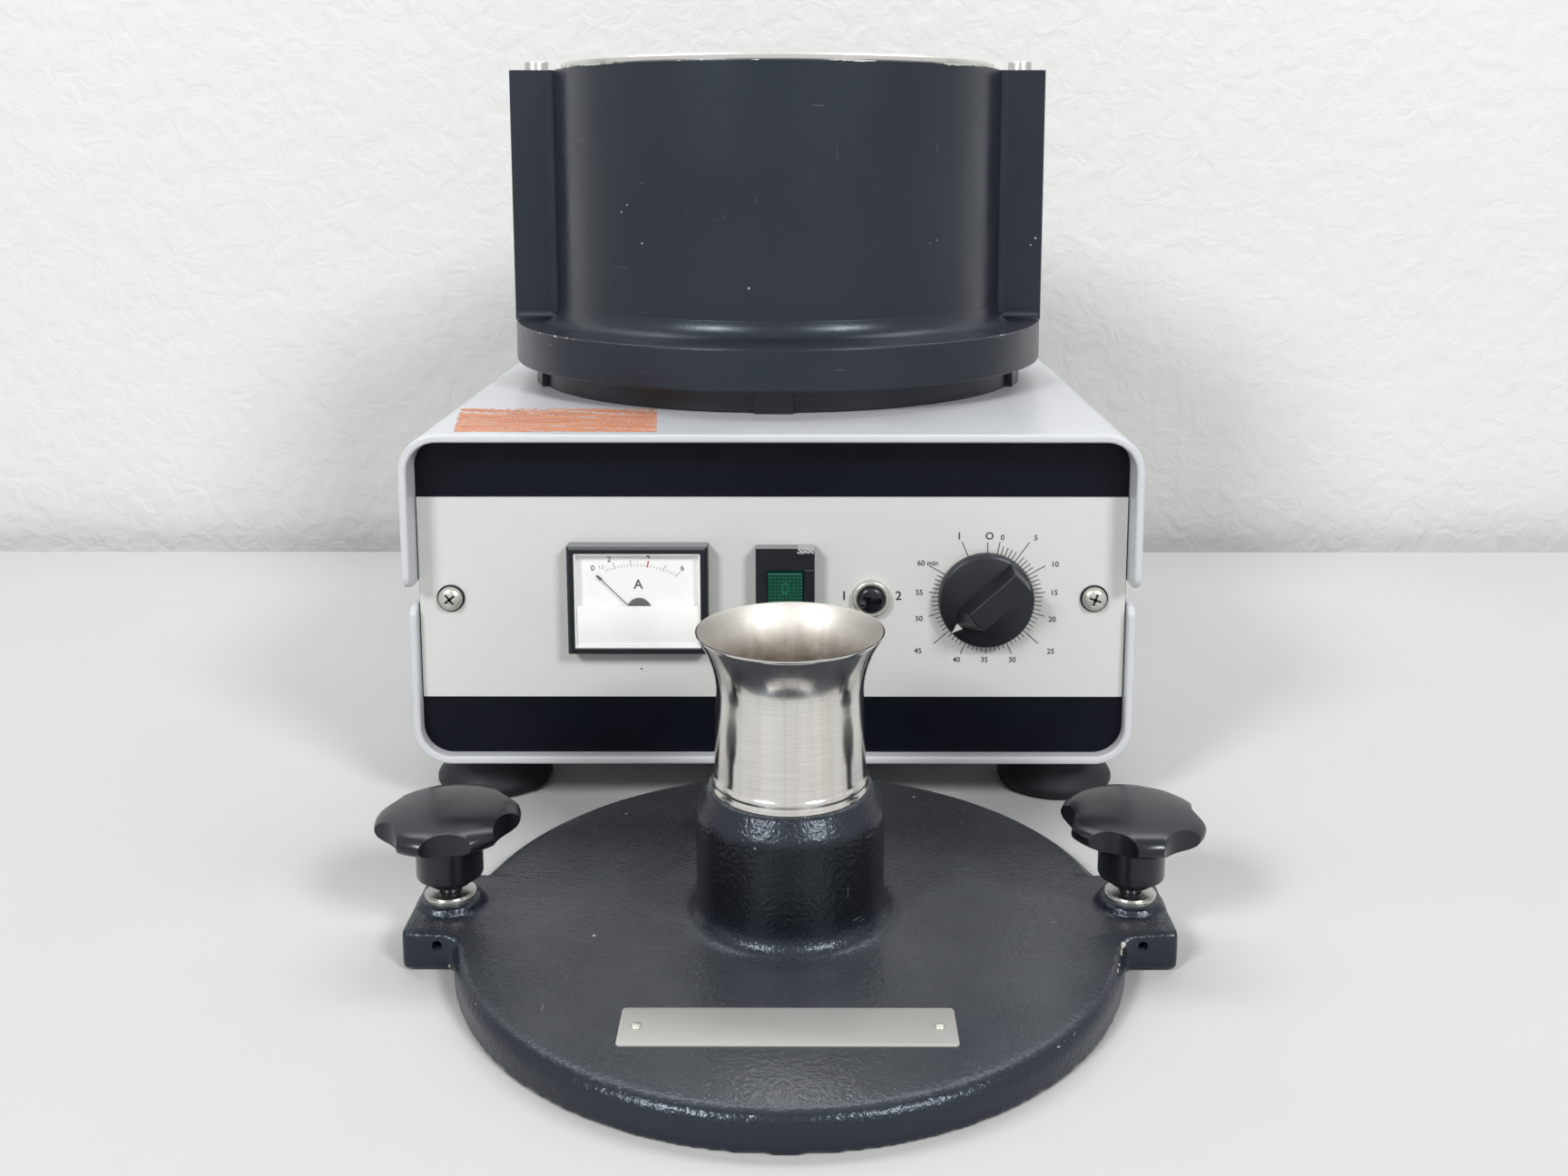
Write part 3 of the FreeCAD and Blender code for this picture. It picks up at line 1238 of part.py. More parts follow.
def timer_knob():
    """Timer knob: a round skirt, a tapered grip bar and the shaft."""
    body = new_body("timer_knob", x=S.timer_centre, y=panel_y - S.timer_gap, z=control_line)
    pad(body, "XZ_Plane", [], S.timer_skirt, circles=[(0, 0, S.timer_radius)])
    dress(body, "Fillet", S.edge_chamfer * 1.5, lambda edge: isinstance(edge.Curve, Part.Circle)
          and abs(edge.Curve.Center.y + flat(S.timer_skirt)) < 1e-4)
    crest = S.timer_skirt + S.timer_bar_height
    half = S.timer_bar_width / 2
    top = S.timer_bar_crest / 2
    bar = [(-S.timer_skirt / 2, -half), (-S.timer_skirt / 2, half), (-crest, top), (-crest, -top)]
    long = S.timer_radius * 2 - S.edge_chamfer
    sketch = new_sketch(body, "YZ_Plane", [[(u, v) for u, v in bar]])
    add_feature(body, "Pad", sketch, long, both=True)
    pad(body, "XZ_Plane", [], S.timer_gap + S.panel_thickness + S.plate_thickness + S.timer_body_depth / 2,
        circles=[(0, 0, S.timer_shaft_radius)], reverse=True)
    body.Placement.Rotation = FreeCAD.Rotation(FreeCAD.Vector(0, 1, 0), TIMER_REST)
    doc.recompute()
    return body


def cable_gland():
    """Gland for the power cord in the rear plate."""
    body = new_body("cable_gland", x=S.gland_spread, y=rear_plate_y + S.plate_thickness, z=control_line)
    pad(body, "XZ_Plane", [], S.gland_length, reverse=True,
        circles=[(0, 0, S.gland_radius), (0, 0, S.gland_bore)])
    pad(body, "XZ_Plane", [], S.plate_thickness + S.gland_length, offset=S.plate_thickness + S.gland_length,
        circles=[(0, 0, S.gland_radius / 2 - S.run_gap), (0, 0, S.gland_bore)], reverse=True)
    return body


def control_board():
    """Control board on its base strip with a heat sink and a capacitor."""
    body = new_body("control_board", x=-S.gland_spread, y=board_y)
    low = cover_floor + S.sheet_wall
    top = low + S.board_rise + S.board_thickness
    half = S.board_width / 2 - S.board_rise
    strip = S.board_rise
    pad(body, "XY_Plane", [box_loop(-half, 0, half, S.board_depth)], S.board_thickness,
        offset=low + S.board_rise)
    pad(body, "XY_Plane", [box_loop(-half, 0, half, strip),
                           box_loop(-half, S.board_depth - strip, half, S.board_depth)],
        S.board_rise, offset=low)
    pad(body, "XY_Plane", [box_loop(-half, strip, -half + strip, S.board_depth - strip)],
        S.heat_sink_height, offset=top)
    pad(body, "XY_Plane", [], S.heat_sink_height, offset=top, circles=[(half / 2, S.board_depth / 2, S.board_rise)])
    return body


def lid_casting():
    """Cast lid: disc with a recess, neck for the funnel and two clamping ears with bosses."""
    body = new_body("lid_casting", x=lid_x, y=lid_y)
    recess = S.lid_recess_radius
    roof = S.lid_recess_depth
    mouth = S.neck_mouth_radius
    turn(body, [
        (recess, 0), (S.lid_radius, 0), (S.lid_radius, S.lid_thickness - S.lid_edge_round, S.lid_edge_round, 1),
        (S.lid_radius - S.lid_edge_round, S.lid_thickness),
        (S.neck_radius + S.neck_fillet, S.lid_thickness, S.neck_fillet, -1),
        (S.neck_radius, S.lid_thickness + S.neck_fillet), (S.neck_radius, S.neck_bevel_foot),
        (mouth, S.neck_top), (S.neck_bore, S.neck_top), (S.neck_bore, roof), (recess, roof)])
    start = S.lid_radius - S.lid_ear_round * 2
    half = S.lid_ear_width / 2
    reach = S.lid_ear_reach
    ears = pad(body, "XY_Plane", [box_loop(start, -half, reach, half), box_loop(-reach, -half, -start, half)],
               S.lid_ear_top - S.lid_ear_foot, offset=S.lid_ear_foot)
    dress(body, "Fillet", S.lid_ear_round, lambda edge: vertical_edge(edge)
          and abs(edge.Vertexes[0].Point.x) > flat(S.lid_ear_reach) - 1e-3)
    pad(body, "XY_Plane", [], S.boss_top - S.lid_ear_foot, offset=S.lid_ear_foot,
        circles=[(S.stud_spread, 0, S.boss_radius), (-S.stud_spread, 0, S.boss_radius)])
    pocket(body, "XY_Plane", [], S.boss_top, offset=S.boss_top,
           circles=[(S.stud_spread, 0, clamp_way), (-S.stud_spread, 0, clamp_way)])
    pocket(body, "XY_Plane", [], S.clip_seat, offset=S.clip_seat,
           circles=[(S.stud_spread, 0, S.clamp_hole_radius), (-S.stud_spread, 0, S.clamp_hole_radius)])
    deep = half - S.clamp_hole_radius - S.overrun
    pocket(body, "XZ_Plane", [], deep, offset=half, circles=[
        (S.cross_hole_offset, cross_hole_z, S.cross_hole_radius),
        (-S.cross_hole_offset, cross_hole_z, S.cross_hole_radius)])
    return body


def lid_seal():
    """Flat seal ring in the lid's recess."""
    body = new_body("lid_seal", x=lid_x, y=lid_y)
    low = S.lid_recess_depth - S.seal_thickness
    inner = S.seal_ring_radius
    outer = S.lid_recess_radius - S.fit_gap
    turn(body, [(inner, low), (outer, low), (outer, S.lid_recess_depth), (inner, S.lid_recess_depth)])
    return body


def funnel():
    """Bright spun funnel: flared rim, waist, tube, bead and a spigot into the neck."""
    body = new_body("funnel", x=lid_x, y=lid_y)
    wall = S.funnel_wall
    tube = S.funnel_tube_radius
    waist = S.funnel_waist_radius
    low = S.neck_top
    spigot = S.funnel_spigot_radius
    turn(body, [
        (spigot - wall, low - S.funnel_spigot), (spigot, low - S.funnel_spigot), (spigot, low),
        (S.funnel_bead_radius, low), (S.funnel_bead_radius, low + S.funnel_bead),
        (tube, low + S.funnel_bead), (waist, S.funnel_waist, S.funnel_flare, -1),
        (S.funnel_rim_radius, S.funnel_top), (S.funnel_rim_radius - wall, S.funnel_top, S.funnel_flare + wall, 1),
        (waist - wall, S.funnel_waist), (tube - wall, low + S.funnel_bead), (spigot - wall, low)])
    return body


def label_plate():
    """Thin label plate with rounded corners, left plain."""
    body = new_body("label_plate", x=lid_x, y=lid_y - S.label_distance)
    half = S.label_width / 2
    deep = S.label_depth / 2
    pad(body, "XY_Plane", [rounded_box(-half, -deep, half, deep, S.label_corner)], S.label_thickness,
        offset=S.lid_thickness, circles=[
            (S.rivet_spread, 0, S.rivet_shank + S.run_gap), (-S.rivet_spread, 0, S.rivet_shank + S.run_gap)])
    return body


def label_rivet(name, side):
    """Domed rivet that holds the label plate."""
    body = new_body(name, x=lid_x + side * S.rivet_spread, y=lid_y - S.label_distance)
    low = S.lid_thickness
    seat = low + S.label_thickness
    turn(body, [
        (0, low), (S.rivet_shank, low), (S.rivet_shank, seat),
        (S.rivet_radius, seat, dome(S.rivet_radius, S.rivet_height), 1), (0, seat + S.rivet_height)])
    return body


def knob_washer(name, side):
    """Bright washer on the boss below a star knob."""
    body = new_body(name, x=lid_x + side * S.stud_spread, y=lid_y)
    turn(body, [
        (clamp_way, S.boss_top), (S.collar_radius, S.boss_top),
        (S.collar_radius, S.boss_top + S.collar_height), (clamp_way, S.boss_top + S.collar_height)])
    return body


def retaining_clip(name, side):
    """Clip that keeps the clamp screw in the lid."""
    body = new_body(name, x=lid_x + side * S.stud_spread, y=lid_y)
    high = S.clip_seat - S.fit_gap
    low = high - S.clip_height
    bore = S.clamp_screw_radius + S.run_gap
    turn(body, [(bore, low), (S.clip_radius, low), (S.clip_radius, high), (bore, high)])
    return body


def star_knob(name, side, angle):
    """Six-lobed star knob moulded on its clamp screw."""
    body = new_body(name, x=lid_x + side * S.stud_spread, y=lid_y)
    hub_foot = S.boss_top + S.collar_height + S.knob_lift
    head_foot = hub_foot + S.knob_hub
    head_top = head_foot + S.knob_head
    screw = S.clamp_screw_radius
    cap = dome(S.knob_radius - S.knob_rise, S.knob_rise / 2)
    turn(body, [
        (0, S.clamp_screw_foot), (screw - S.edge_chamfer, S.clamp_screw_foot),
        (screw, S.clamp_screw_foot + S.edge_chamfer), (screw, hub_foot),
        (S.knob_hub_radius, hub_foot), (S.knob_hub_radius, head_foot),
        (S.knob_radius - S.knob_under, head_foot, S.knob_under * 1.5, 1),
        (S.knob_radius, head_foot + S.knob_under), (S.knob_radius, head_top - S.knob_rise * 1.4,
                                                    S.knob_rise * 1.4, 1),
        (S.knob_radius - S.knob_rise, head_top - S.knob_rise / 2, cap, 1), (0, head_top)])
    centre = S.knob_radius - S.knob_notch_depth + S.knob_notch_radius
    notch = pocket(body, "XY_Plane", [], S.knob_head + S.overrun, offset=head_top + S.overrun / 2,
                   circles=[(0, -centre, S.knob_notch_radius)])
    polar(body, notch, 6)
    body.Placement.Rotation = FreeCAD.Rotation(FreeCAD.Vector(0, 0, 1), angle)
    doc.recompute()
    return body


def build():
    """Make every node and write it to its own file."""
    lower_bearing = bearing("lower_bearing", lower_bearing_foot)
    upper_bearing = bearing("upper_bearing", tower_top - S.seal_height - S.bearing_width)
    sides = [(-1,), (1,)]
    corners = [(side, end) for side in (-1, 1) for end in (-1, 1)]
    nodes = [
        hood(), lower_cover(), chassis(), deck(), front_plate(), front_panel(), rear_plate(),
        group("feet", foot, foot_places()), group("foot_screws", foot_screw, foot_places()),
        group("panel_screws", panel_screw, sides), group("screw_washers", screw_washer, sides),
        support_ring(), group("deck_bolts", deck_bolt, corners), chamber_housing(),
        group("lid_studs", lid_stud, sides), lower_bearing, upper_bearing, shaft_seal(), drive_shaft(),
        motor_shell(), motor_shield(), stator(), armature(), carbon_brushes(), brush_holders(),
        cooling_fan(), collecting_pan(), ring_sieve(), milling_rotor(), meter_frame(), meter_dial(),
        meter_mask(), meter_glass(), meter_needle(), rocker_frame(), rocker(), toggle_nut(),
        toggle_body(), toggle_lever(), timer_body(), timer_knob(), cable_gland(), control_board(),
        lid_casting(), lid_seal(), funnel(), label_plate(), group("label_rivets", label_rivet, sides),
        group("knob_washers", knob_washer, sides), retaining_clip("clip_left", -1),
        retaining_clip("clip_right", 1), star_knob("star_knob_left", -1, KNOB_LEFT_REST),
        star_knob("star_knob_right", 1, KNOB_RIGHT_REST)]
    doc.recompute()
    for thing in doc.Objects:
        if "Invalid" in thing.State or "Error" in thing.State:
            raise RuntimeError(f"{thing.Name} is {thing.State}")
    for node in nodes:
        if node.Shape.isNull() or not node.Shape.isValid():
            raise RuntimeError(f"{node.Label} has no valid shape")
        node.Shape.exportStep(f"parts/{node.Label}.step")
        low, high = node.Shape.optimalBoundingBox(), node.Shape.Volume
        print(f"{node.Label} {len(node.Shape.Solids)} {high:.0f} x {low.XMin:.1f} {low.XMax:.1f} "
              f"y {low.YMin:.1f} {low.YMax:.1f} z {low.ZMin:.1f} {low.ZMax:.1f}")


build()
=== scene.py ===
import math

import bmesh
import bpy
from mathutils import Matrix, Vector


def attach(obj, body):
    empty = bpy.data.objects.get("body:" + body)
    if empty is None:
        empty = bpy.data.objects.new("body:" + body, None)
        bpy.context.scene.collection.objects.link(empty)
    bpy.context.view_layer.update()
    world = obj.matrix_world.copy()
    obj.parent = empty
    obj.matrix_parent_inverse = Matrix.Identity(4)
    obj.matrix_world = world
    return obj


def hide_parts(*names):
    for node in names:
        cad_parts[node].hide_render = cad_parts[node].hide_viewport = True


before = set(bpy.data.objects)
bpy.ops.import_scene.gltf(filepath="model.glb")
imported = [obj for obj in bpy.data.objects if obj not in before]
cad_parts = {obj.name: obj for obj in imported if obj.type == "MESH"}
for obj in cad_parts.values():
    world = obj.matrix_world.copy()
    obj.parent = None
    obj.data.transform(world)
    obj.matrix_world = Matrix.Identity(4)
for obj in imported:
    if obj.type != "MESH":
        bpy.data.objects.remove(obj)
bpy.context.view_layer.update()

# Places and sizes in millimetres; pieces are shaped in millimetres and stored in metres
MM = 0.001
MIDDLE = -1.5  # the cabinet's middle plane
PANEL_Y = -60.9  # the panel's front face
CONTROL_Z = 109.25  # height of the timer, the toggle and the panel screws
METER = (-66.5, 110.3)
SCREWS = ((-157, 52), (157, 20))  # panel screws: place beside the middle, turn of the cross
AXIS = (-1.5, 123.1)  # the chamber's upright axis
LID = (8.5, -185.0)  # the lid's upright axis, where it lies
SIDES = (-1, 1)
STUD = 141  # from an axis to a stud, a boss or a clamp screw
STUDS = [(AXIS[0] + side * STUD, AXIS[1]) for side in SIDES]
CLAMPS = [(LID[0] + side * STUD, LID[1]) for side in SIDES]
EAR_HALF = 25.7  # half the width of an ear
DRUM, FLANGE = 129.4, 154  # radii of the chamber's drum and flange
FLANGE_TOP = 228
RIM = 136.7  # radius of the lid's disc


# Shaping

def add_object(name, data):
    """Put new data into the scene as an object."""
    thing = bpy.data.objects.new(name, data)
    bpy.context.scene.collection.objects.link(thing)
    return thing


def as_data(name, mesh):
    """Turn a shaped mesh into mesh data and free it."""
    data = bpy.data.meshes.new(name)
    mesh.to_mesh(data)
    mesh.free()
    return data


def applied(thing):
    """Mesh data of an object with its modifiers applied; the object itself goes."""
    view = bpy.context.evaluated_depsgraph_get()
    data = bpy.data.meshes.new_from_object(thing.evaluated_get(view))
    bpy.data.objects.remove(thing)
    return data


def added(mesh, before):
    """The points that a mesh has beyond a set of earlier ones."""
    return [v for v in mesh.verts if v not in before]


def outward(mesh):
    """Turn all faces outward."""
    bmesh.ops.recalc_face_normals(mesh, faces=mesh.faces)
    return mesh


def shift(mesh, x=0.0, y=0.0, z=0.0, verts=None):
    bmesh.ops.translate(mesh, vec=(x, y, z), verts=mesh.verts if verts is None else verts)


def pull(mesh, faces, move, keep=False):
    """Extrude faces along a vector."""
    made = bmesh.ops.extrude_face_region(mesh, geom=faces, use_keep_orig=keep)["geom"]
    shift(mesh, *move, verts=[g for g in made if isinstance(g, bmesh.types.BMVert)])


def spun(mesh, outline, centre=(0, 0), steps=144, closed=True):
    """Turn an outline of (radius, height) points round an upright axis."""
    before = set(mesh.verts)
    ring = [mesh.verts.new((radius, 0, height)) for radius, height in outline]
    lines = [mesh.edges.new(pair) for pair in zip(ring, ring[1:])]
    if closed:
        lines.append(mesh.edges.new((ring[-1], ring[0])))
    bmesh.ops.spin(mesh, geom=ring + lines, cent=(0, 0, 0), axis=(0, 0, 1), angle=2 * math.pi,
                   steps=steps, use_merge=True)
    bmesh.ops.remove_doubles(mesh, verts=added(mesh, before), dist=0.001)
    made = added(mesh, before)
    bmesh.ops.recalc_face_normals(mesh, faces=list({f for v in made for f in v.link_faces}))
    shift(mesh, *centre, verts=made)
    return made


def block(mesh, low, high):
    """A box between two corners."""
    low, high = Vector(low), Vector(high)
    matrix = Matrix.Translation((low + high) / 2) @ Matrix.Diagonal((*(high - low), 1))
    return bmesh.ops.create_cube(mesh, size=1, matrix=matrix)["verts"]


def rod(mesh, start, end, radius, steps=24, far_radius=None):
    """A round bar or cone between two points."""
    start, end = Vector(start), Vector(end)
    along = end - start
    turn = along.to_track_quat("Z", "Y").to_matrix().to_4x4()
    bmesh.ops.create_cone(
        mesh, cap_ends=True, segments=steps, radius1=radius,
        radius2=radius if far_radius is None else far_radius, depth=along.length,
        matrix=Matrix.Translation((start + end) / 2) @ turn)


def round_off(mesh, parts, width, segments, affect="EDGES", clamp=False):
    """Bevel edges or points."""
    bmesh.ops.bevel(mesh, geom=parts, offset=width, offset_type="OFFSET", segments=segments,
                    profile=0.5, affect=affect, material=-1, clamp_overlap=clamp)


def soften(mesh, width, segments, where=None):
    """Round the sharp edges, or those of them that a test of their middle point picks."""
    edges = [e for e in mesh.edges
             if len(e.link_faces) == 2 and e.calc_face_angle(0) > math.radians(25)
             and (where is None or where((e.verts[0].co + e.verts[1].co) / 2))]
    round_off(mesh, edges, width, segments, clamp=True)


def face_forward(mesh, verts, place, turn=0.0):
    """Turn parts made along +Z to face the front, at a place on the panel."""
    matrix = (Matrix.Translation(place) @ Matrix.Rotation(math.radians(turn), 4, "Y")
              @ Matrix.Rotation(math.pi / 2, 4, "X"))
    bmesh.ops.transform(mesh, matrix=matrix, verts=verts)


def store(name, mesh, body, finish, stands_for=(), smooth=32, bevel=0.0, segments=3):
    """Turn a shaped mesh into a piece that rides on a body."""
    bmesh.ops.scale(mesh, vec=(MM, MM, MM), verts=mesh.verts)
    data = as_data(name, mesh)
    data.shade_smooth()
    data.set_sharp_from_angle(angle=math.radians(smooth))
    data.materials.append(finish)
    piece = add_object(name, data)
    if bevel:
        rounding = piece.modifiers.new("rounding", "BEVEL")
        rounding.width = bevel * MM
        rounding.segments = segments
        rounding.limit_method = "ANGLE"
        rounding.angle_limit = math.radians(smooth)
        rounding.harden_normals = False
        piece.modifiers.new("even shading", "WEIGHTED_NORMAL").keep_sharp = True
    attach(piece, body)
    if stands_for:
        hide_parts(*stands_for)


def cast_skin(mesh, voxel, rounds, keep):
    """Melt closed parts into one cast skin with soft edges."""
    form = add_object("cast_form", as_data("cast_form", outward(mesh)))
    skin = form.modifiers.new("skin", "REMESH")
    skin.mode = "VOXEL"
    skin.voxel_size = voxel
    relax = form.modifiers.new("relax", "SMOOTH")
    relax.factor = 0.5
    relax.iterations = rounds
    form.modifiers.new("thin", "DECIMATE").ratio = keep
    fresh = bmesh.new()
    fresh.from_mesh(applied(form))
    return fresh


def cut(mesh, tool):
    """Cut one closed mesh out of another."""
    body = add_object("cut_body", as_data("cut_body", outward(mesh)))
    knife = add_object("cut_tool", as_data("cut_tool", outward(tool)))
    step = body.modifiers.new("cut", "BOOLEAN")
    step.operation = "DIFFERENCE"
    step.solver = "EXACT"
    step.object = knife
    fresh = bmesh.new()
    fresh.from_mesh(applied(body))
    bpy.data.objects.remove(knife)
    return fresh


def cut_block(mesh, low, high):
    tool = bmesh.new()
    block(tool, low, high)
    return cut(mesh, tool)


def add_lettering(mesh, words, size, place, weight=0.02):
    """Flat printed characters that face the front, centred on a place."""
    curve = bpy.data.curves.new("characters", "FONT")
    curve.body = words
    curve.size = size
    curve.align_x = "CENTER"
    curve.align_y = "CENTER"
    curve.offset = size * weight
    before = set(mesh.verts)
    mesh.from_mesh(applied(add_object("characters", curve)))
    face_forward(mesh, added(mesh, before), place)


def add_mark(mesh, place, turn, low, high, width):
    """A printed line that faces the front, turned clockwise from upright round a place."""
    made = block(mesh, (-width / 2, -0.03, low), (width / 2, 0.03, high))
    bmesh.ops.transform(mesh, verts=made, matrix=Matrix.Translation(place)
                        @ Matrix.Rotation(turn, 4, "Y"))


# Finishes

class Nodes:
    """Adds shader nodes to a tree; any input takes a value or another node's output."""

    def __init__(self, tree):
        self.tree = tree

    def link(self, value, socket):
        if isinstance(value, bpy.types.NodeSocket):
            self.tree.links.new(value, socket)
        else:
            socket.default_value = value

    def add(self, kind, inputs=None, **settings):
        made = self.tree.nodes.new(kind)
        for key, value in settings.items():
            setattr(made, key, value)
        for key, value in (inputs or {}).items():
            self.link(value, made.inputs[key])
        return made

    def maths(self, operation, first, second=0.0):
        return self.add("ShaderNodeMath", {0: first, 1: second}, operation=operation).outputs[0]

    def plus(self, first, second):
        return self.maths("ADD", first, second)

    def minus(self, first, second):
        return self.maths("SUBTRACT", first, second)

    def times(self, first, second):
        return self.maths("MULTIPLY", first, second)

    def most(self, first, second):
        return self.maths("MAXIMUM", first, second)

    def length(self, first, second):
        return self.maths("SQRT", self.plus(self.times(first, first), self.times(second, second)))

    def ramp(self, amount, low, high, bottom=0.0, top=1.0):
        """Map a range of an amount to another range, clamped."""
        return self.add("ShaderNodeMapRange", {
            "Value": amount, "From Min": low, "From Max": high, "To Min": bottom,
            "To Max": top}).outputs["Result"]

    def mix(self, amount, first, second):
        """Blend two colours."""
        first, second = ((*c, 1.0) if isinstance(c, tuple) else c for c in (first, second))
        return self.add("ShaderNodeMix", {0: amount, 6: first, 7: second},
                        data_type="RGBA").outputs[2]

    def blend(self, amount, first, second, output):
        """Blend two shaders into the output node."""
        made = self.add("ShaderNodeMixShader", {
            0: amount, 1: first.outputs[0], 2: second.outputs[0]})
        self.link(made.outputs[0], output.inputs[0])


class Finish(Nodes):
    """A material in the making: its shader and patterns in the piece's own coordinates."""

    def __init__(self, name):
        self.material = bpy.data.materials.new(name)
        self.material.use_nodes = True
        super().__init__(self.material.node_tree)
        self.shader = self.tree.nodes["Principled BSDF"]
        self.place = self.add("ShaderNodeTexCoord").outputs["Object"]

    def feed(self, **inputs):
        """Feed inputs of the shader; an underscore stands for the blank in a name."""
        for key, value in inputs.items():
            self.link(value, self.shader.inputs[key.replace("_", " ")])

    def noise(self, scale, detail=4.0, rough=0.5, twist=0.0, place=None):
        return self.add("ShaderNodeTexNoise", {
            "Vector": self.place if place is None else place, "Scale": scale, "Detail": detail,
            "Roughness": rough, "Distortion": twist}).outputs["Fac"]

    def streaks(self, scale, turn=(0, 0, 0), detail=2, rough=0.5, size=1.0, place=None):
        """Noise drawn out by a different scale along each axis."""
        drawn = self.add("ShaderNodeMapping", {
            "Vector": self.place if place is None else place, "Scale": scale, "Rotation": turn})
        return self.noise(size, detail, rough, place=drawn.outputs["Vector"])

    def cells(self, scale):
        return self.add("ShaderNodeTexVoronoi", {"Vector": self.place, "Scale": scale},
                        feature="F1").outputs["Distance"]

    def split(self, vector):
        return self.add("ShaderNodeSeparateXYZ", {"Vector": vector}).outputs

    def facing(self):
        """The parts of the surface's direction."""
        return self.split(self.add("ShaderNodeNewGeometry").outputs["Normal"])

    def from_axis(self, centre):
        """The two offsets and the distance from an upright axis, and the height, in metres."""
        x, y, z = self.split(self.place)
        dx, dy = self.minus(x, centre[0] * MM), self.minus(y, centre[1] * MM)
        return dx, dy, self.length(dx, dy), z

    def from_ring(self, centre, radius, height):
        """Distance from a ring round an upright axis."""
        away, z = self.from_axis(centre)[2:]
        return self.length(self.minus(away, radius * MM), self.minus(z, height * MM))

    def relief(self, height, strength, depth):
        """Raise or sink the surface by a height, in metres."""
        bump = self.add("ShaderNodeBump", {
            "Height": height, "Strength": strength, "Distance": depth})
        self.feed(Normal=bump.outputs["Normal"])


def shade(colour, share):
    return tuple(c * share for c in colour)


def casting_paint(name, colour, rough, peel, peel_size, worn_rings, scratch, top_sheen, neck=None):
    """Gloss paint on a casting: orange peel, fine scratches, settled dust with a painted sheen on
    upward faces, chips at worn rings.

    A worn ring is (centre, radius, height, reach, amount). The lid gives its axis as neck: the
    neck's side is painted darker, a painted shade.
    """
    f = Finish(name)
    tone = f.mix(f.ramp(f.noise(9, 3), 0.35, 0.7), shade(colour, 0.82), shade(colour, 1.25))
    lines = f.most(f.ramp(f.streaks((18, 60, 950), (0.3, 0.2, 0.5)), 0.735, 0.76),
                   f.ramp(f.streaks((700, 25, 40), (0.1, 0.9, 0.2)), 0.74, 0.77))
    marks = f.times(f.times(f.ramp(f.noise(26, 2), 0.56, 0.68), lines), scratch)
    chips = f.times(f.ramp(f.cells(95), 0.075, 0.05), f.ramp(f.noise(31, 2), 0.6, 0.66))
    for centre, radius, height, reach, amount in worn_rings:
        near = f.ramp(f.from_ring(centre, radius, height), reach * MM, 0.0)
        ragged = f.plus(near, f.times(f.noise(420, 5, 0.62), 0.9))
        spots = f.ramp(f.noise(38, 3), 0.72 - amount * 0.3, 0.86 - amount * 0.3)
        ragged = f.plus(ragged, f.times(spots, 0.35))
        chips = f.most(chips, f.times(f.ramp(ragged, 1.5, 1.55), f.ramp(near, 0.02, 0.1)))
    if neck:
        # Painted shade: the neck's side round the lid's axis is mixed toward a much darker copy of
        # the paint colour.
        away, z = f.from_axis(neck)[2:]
        side = f.times(f.ramp(away, 0.046, 0.0405), f.ramp(z, 0.017, 0.028))
        side = f.times(side, f.ramp(z, 0.0605, 0.058, 0.25, 1.0))
        tone = f.mix(side, tone, shade(colour, 0.28))
    tone = f.mix(marks, tone, (0.28, 0.3, 0.32))
    # Upward faces are mixed toward pale grey: settled dust together with a painted sheen where
    # light falls on the tops.
    dust_and_sheen = f.times(f.ramp(f.facing()[2], 0.8, 1.0, 0.0, top_sheen),
                   f.ramp(f.noise(11, 5, 0.6), 0.3, 0.7, 0.55, 1.4))
    tone = f.mix(dust_and_sheen, tone, (0.5, 0.52, 0.54))
    bare = f.mix(f.noise(900, 3, 0.6), (0.42, 0.41, 0.39), (0.66, 0.64, 0.6))
    smear = f.ramp(f.noise(14, 4, 0.6), 0.3, 0.75, rough * 0.8, rough * 1.35)
    f.feed(Base_Color=f.mix(chips, tone, bare), Roughness=f.plus(smear, f.times(chips, 0.15)),
           IOR=1.5, Specular_Tint=(0.8, 0.88, 1.0, 1))
    height = f.minus(f.times(f.noise(1000 / peel_size, 2), peel), f.times(chips, 0.5))
    f.relief(f.minus(height, f.times(marks, 0.15)), 0.6, 0.0004)
    return f.material


def enamel(name, colour, rough):
    """Pale baked enamel on sheet with faint orange peel, scuffs and grime."""
    f = Finish(name)
    tone = f.mix(f.ramp(f.noise(7, 4), 0.3, 0.75), shade(colour, 0.95), colour)
    marks = f.times(f.ramp(f.streaks((30, 600, 60), (0.2, 0.5, 0.3)), 0.74, 0.78),
                    f.ramp(f.noise(18, 2), 0.5, 0.66))
    tone = f.mix(f.times(marks, 0.4), tone, (0.3, 0.3, 0.3))
    grime = f.times(f.ramp(f.noise(55, 5, 0.65), 0.62, 0.8), 0.35)
    f.feed(Base_Color=f.mix(grime, tone, shade(colour, 0.78)),
           Roughness=f.ramp(f.noise(22, 4), 0.3, 0.8, rough * 0.85, rough * 1.3))
    f.relief(f.noise(520, 2), 0.25, 0.0002)
    return f.material


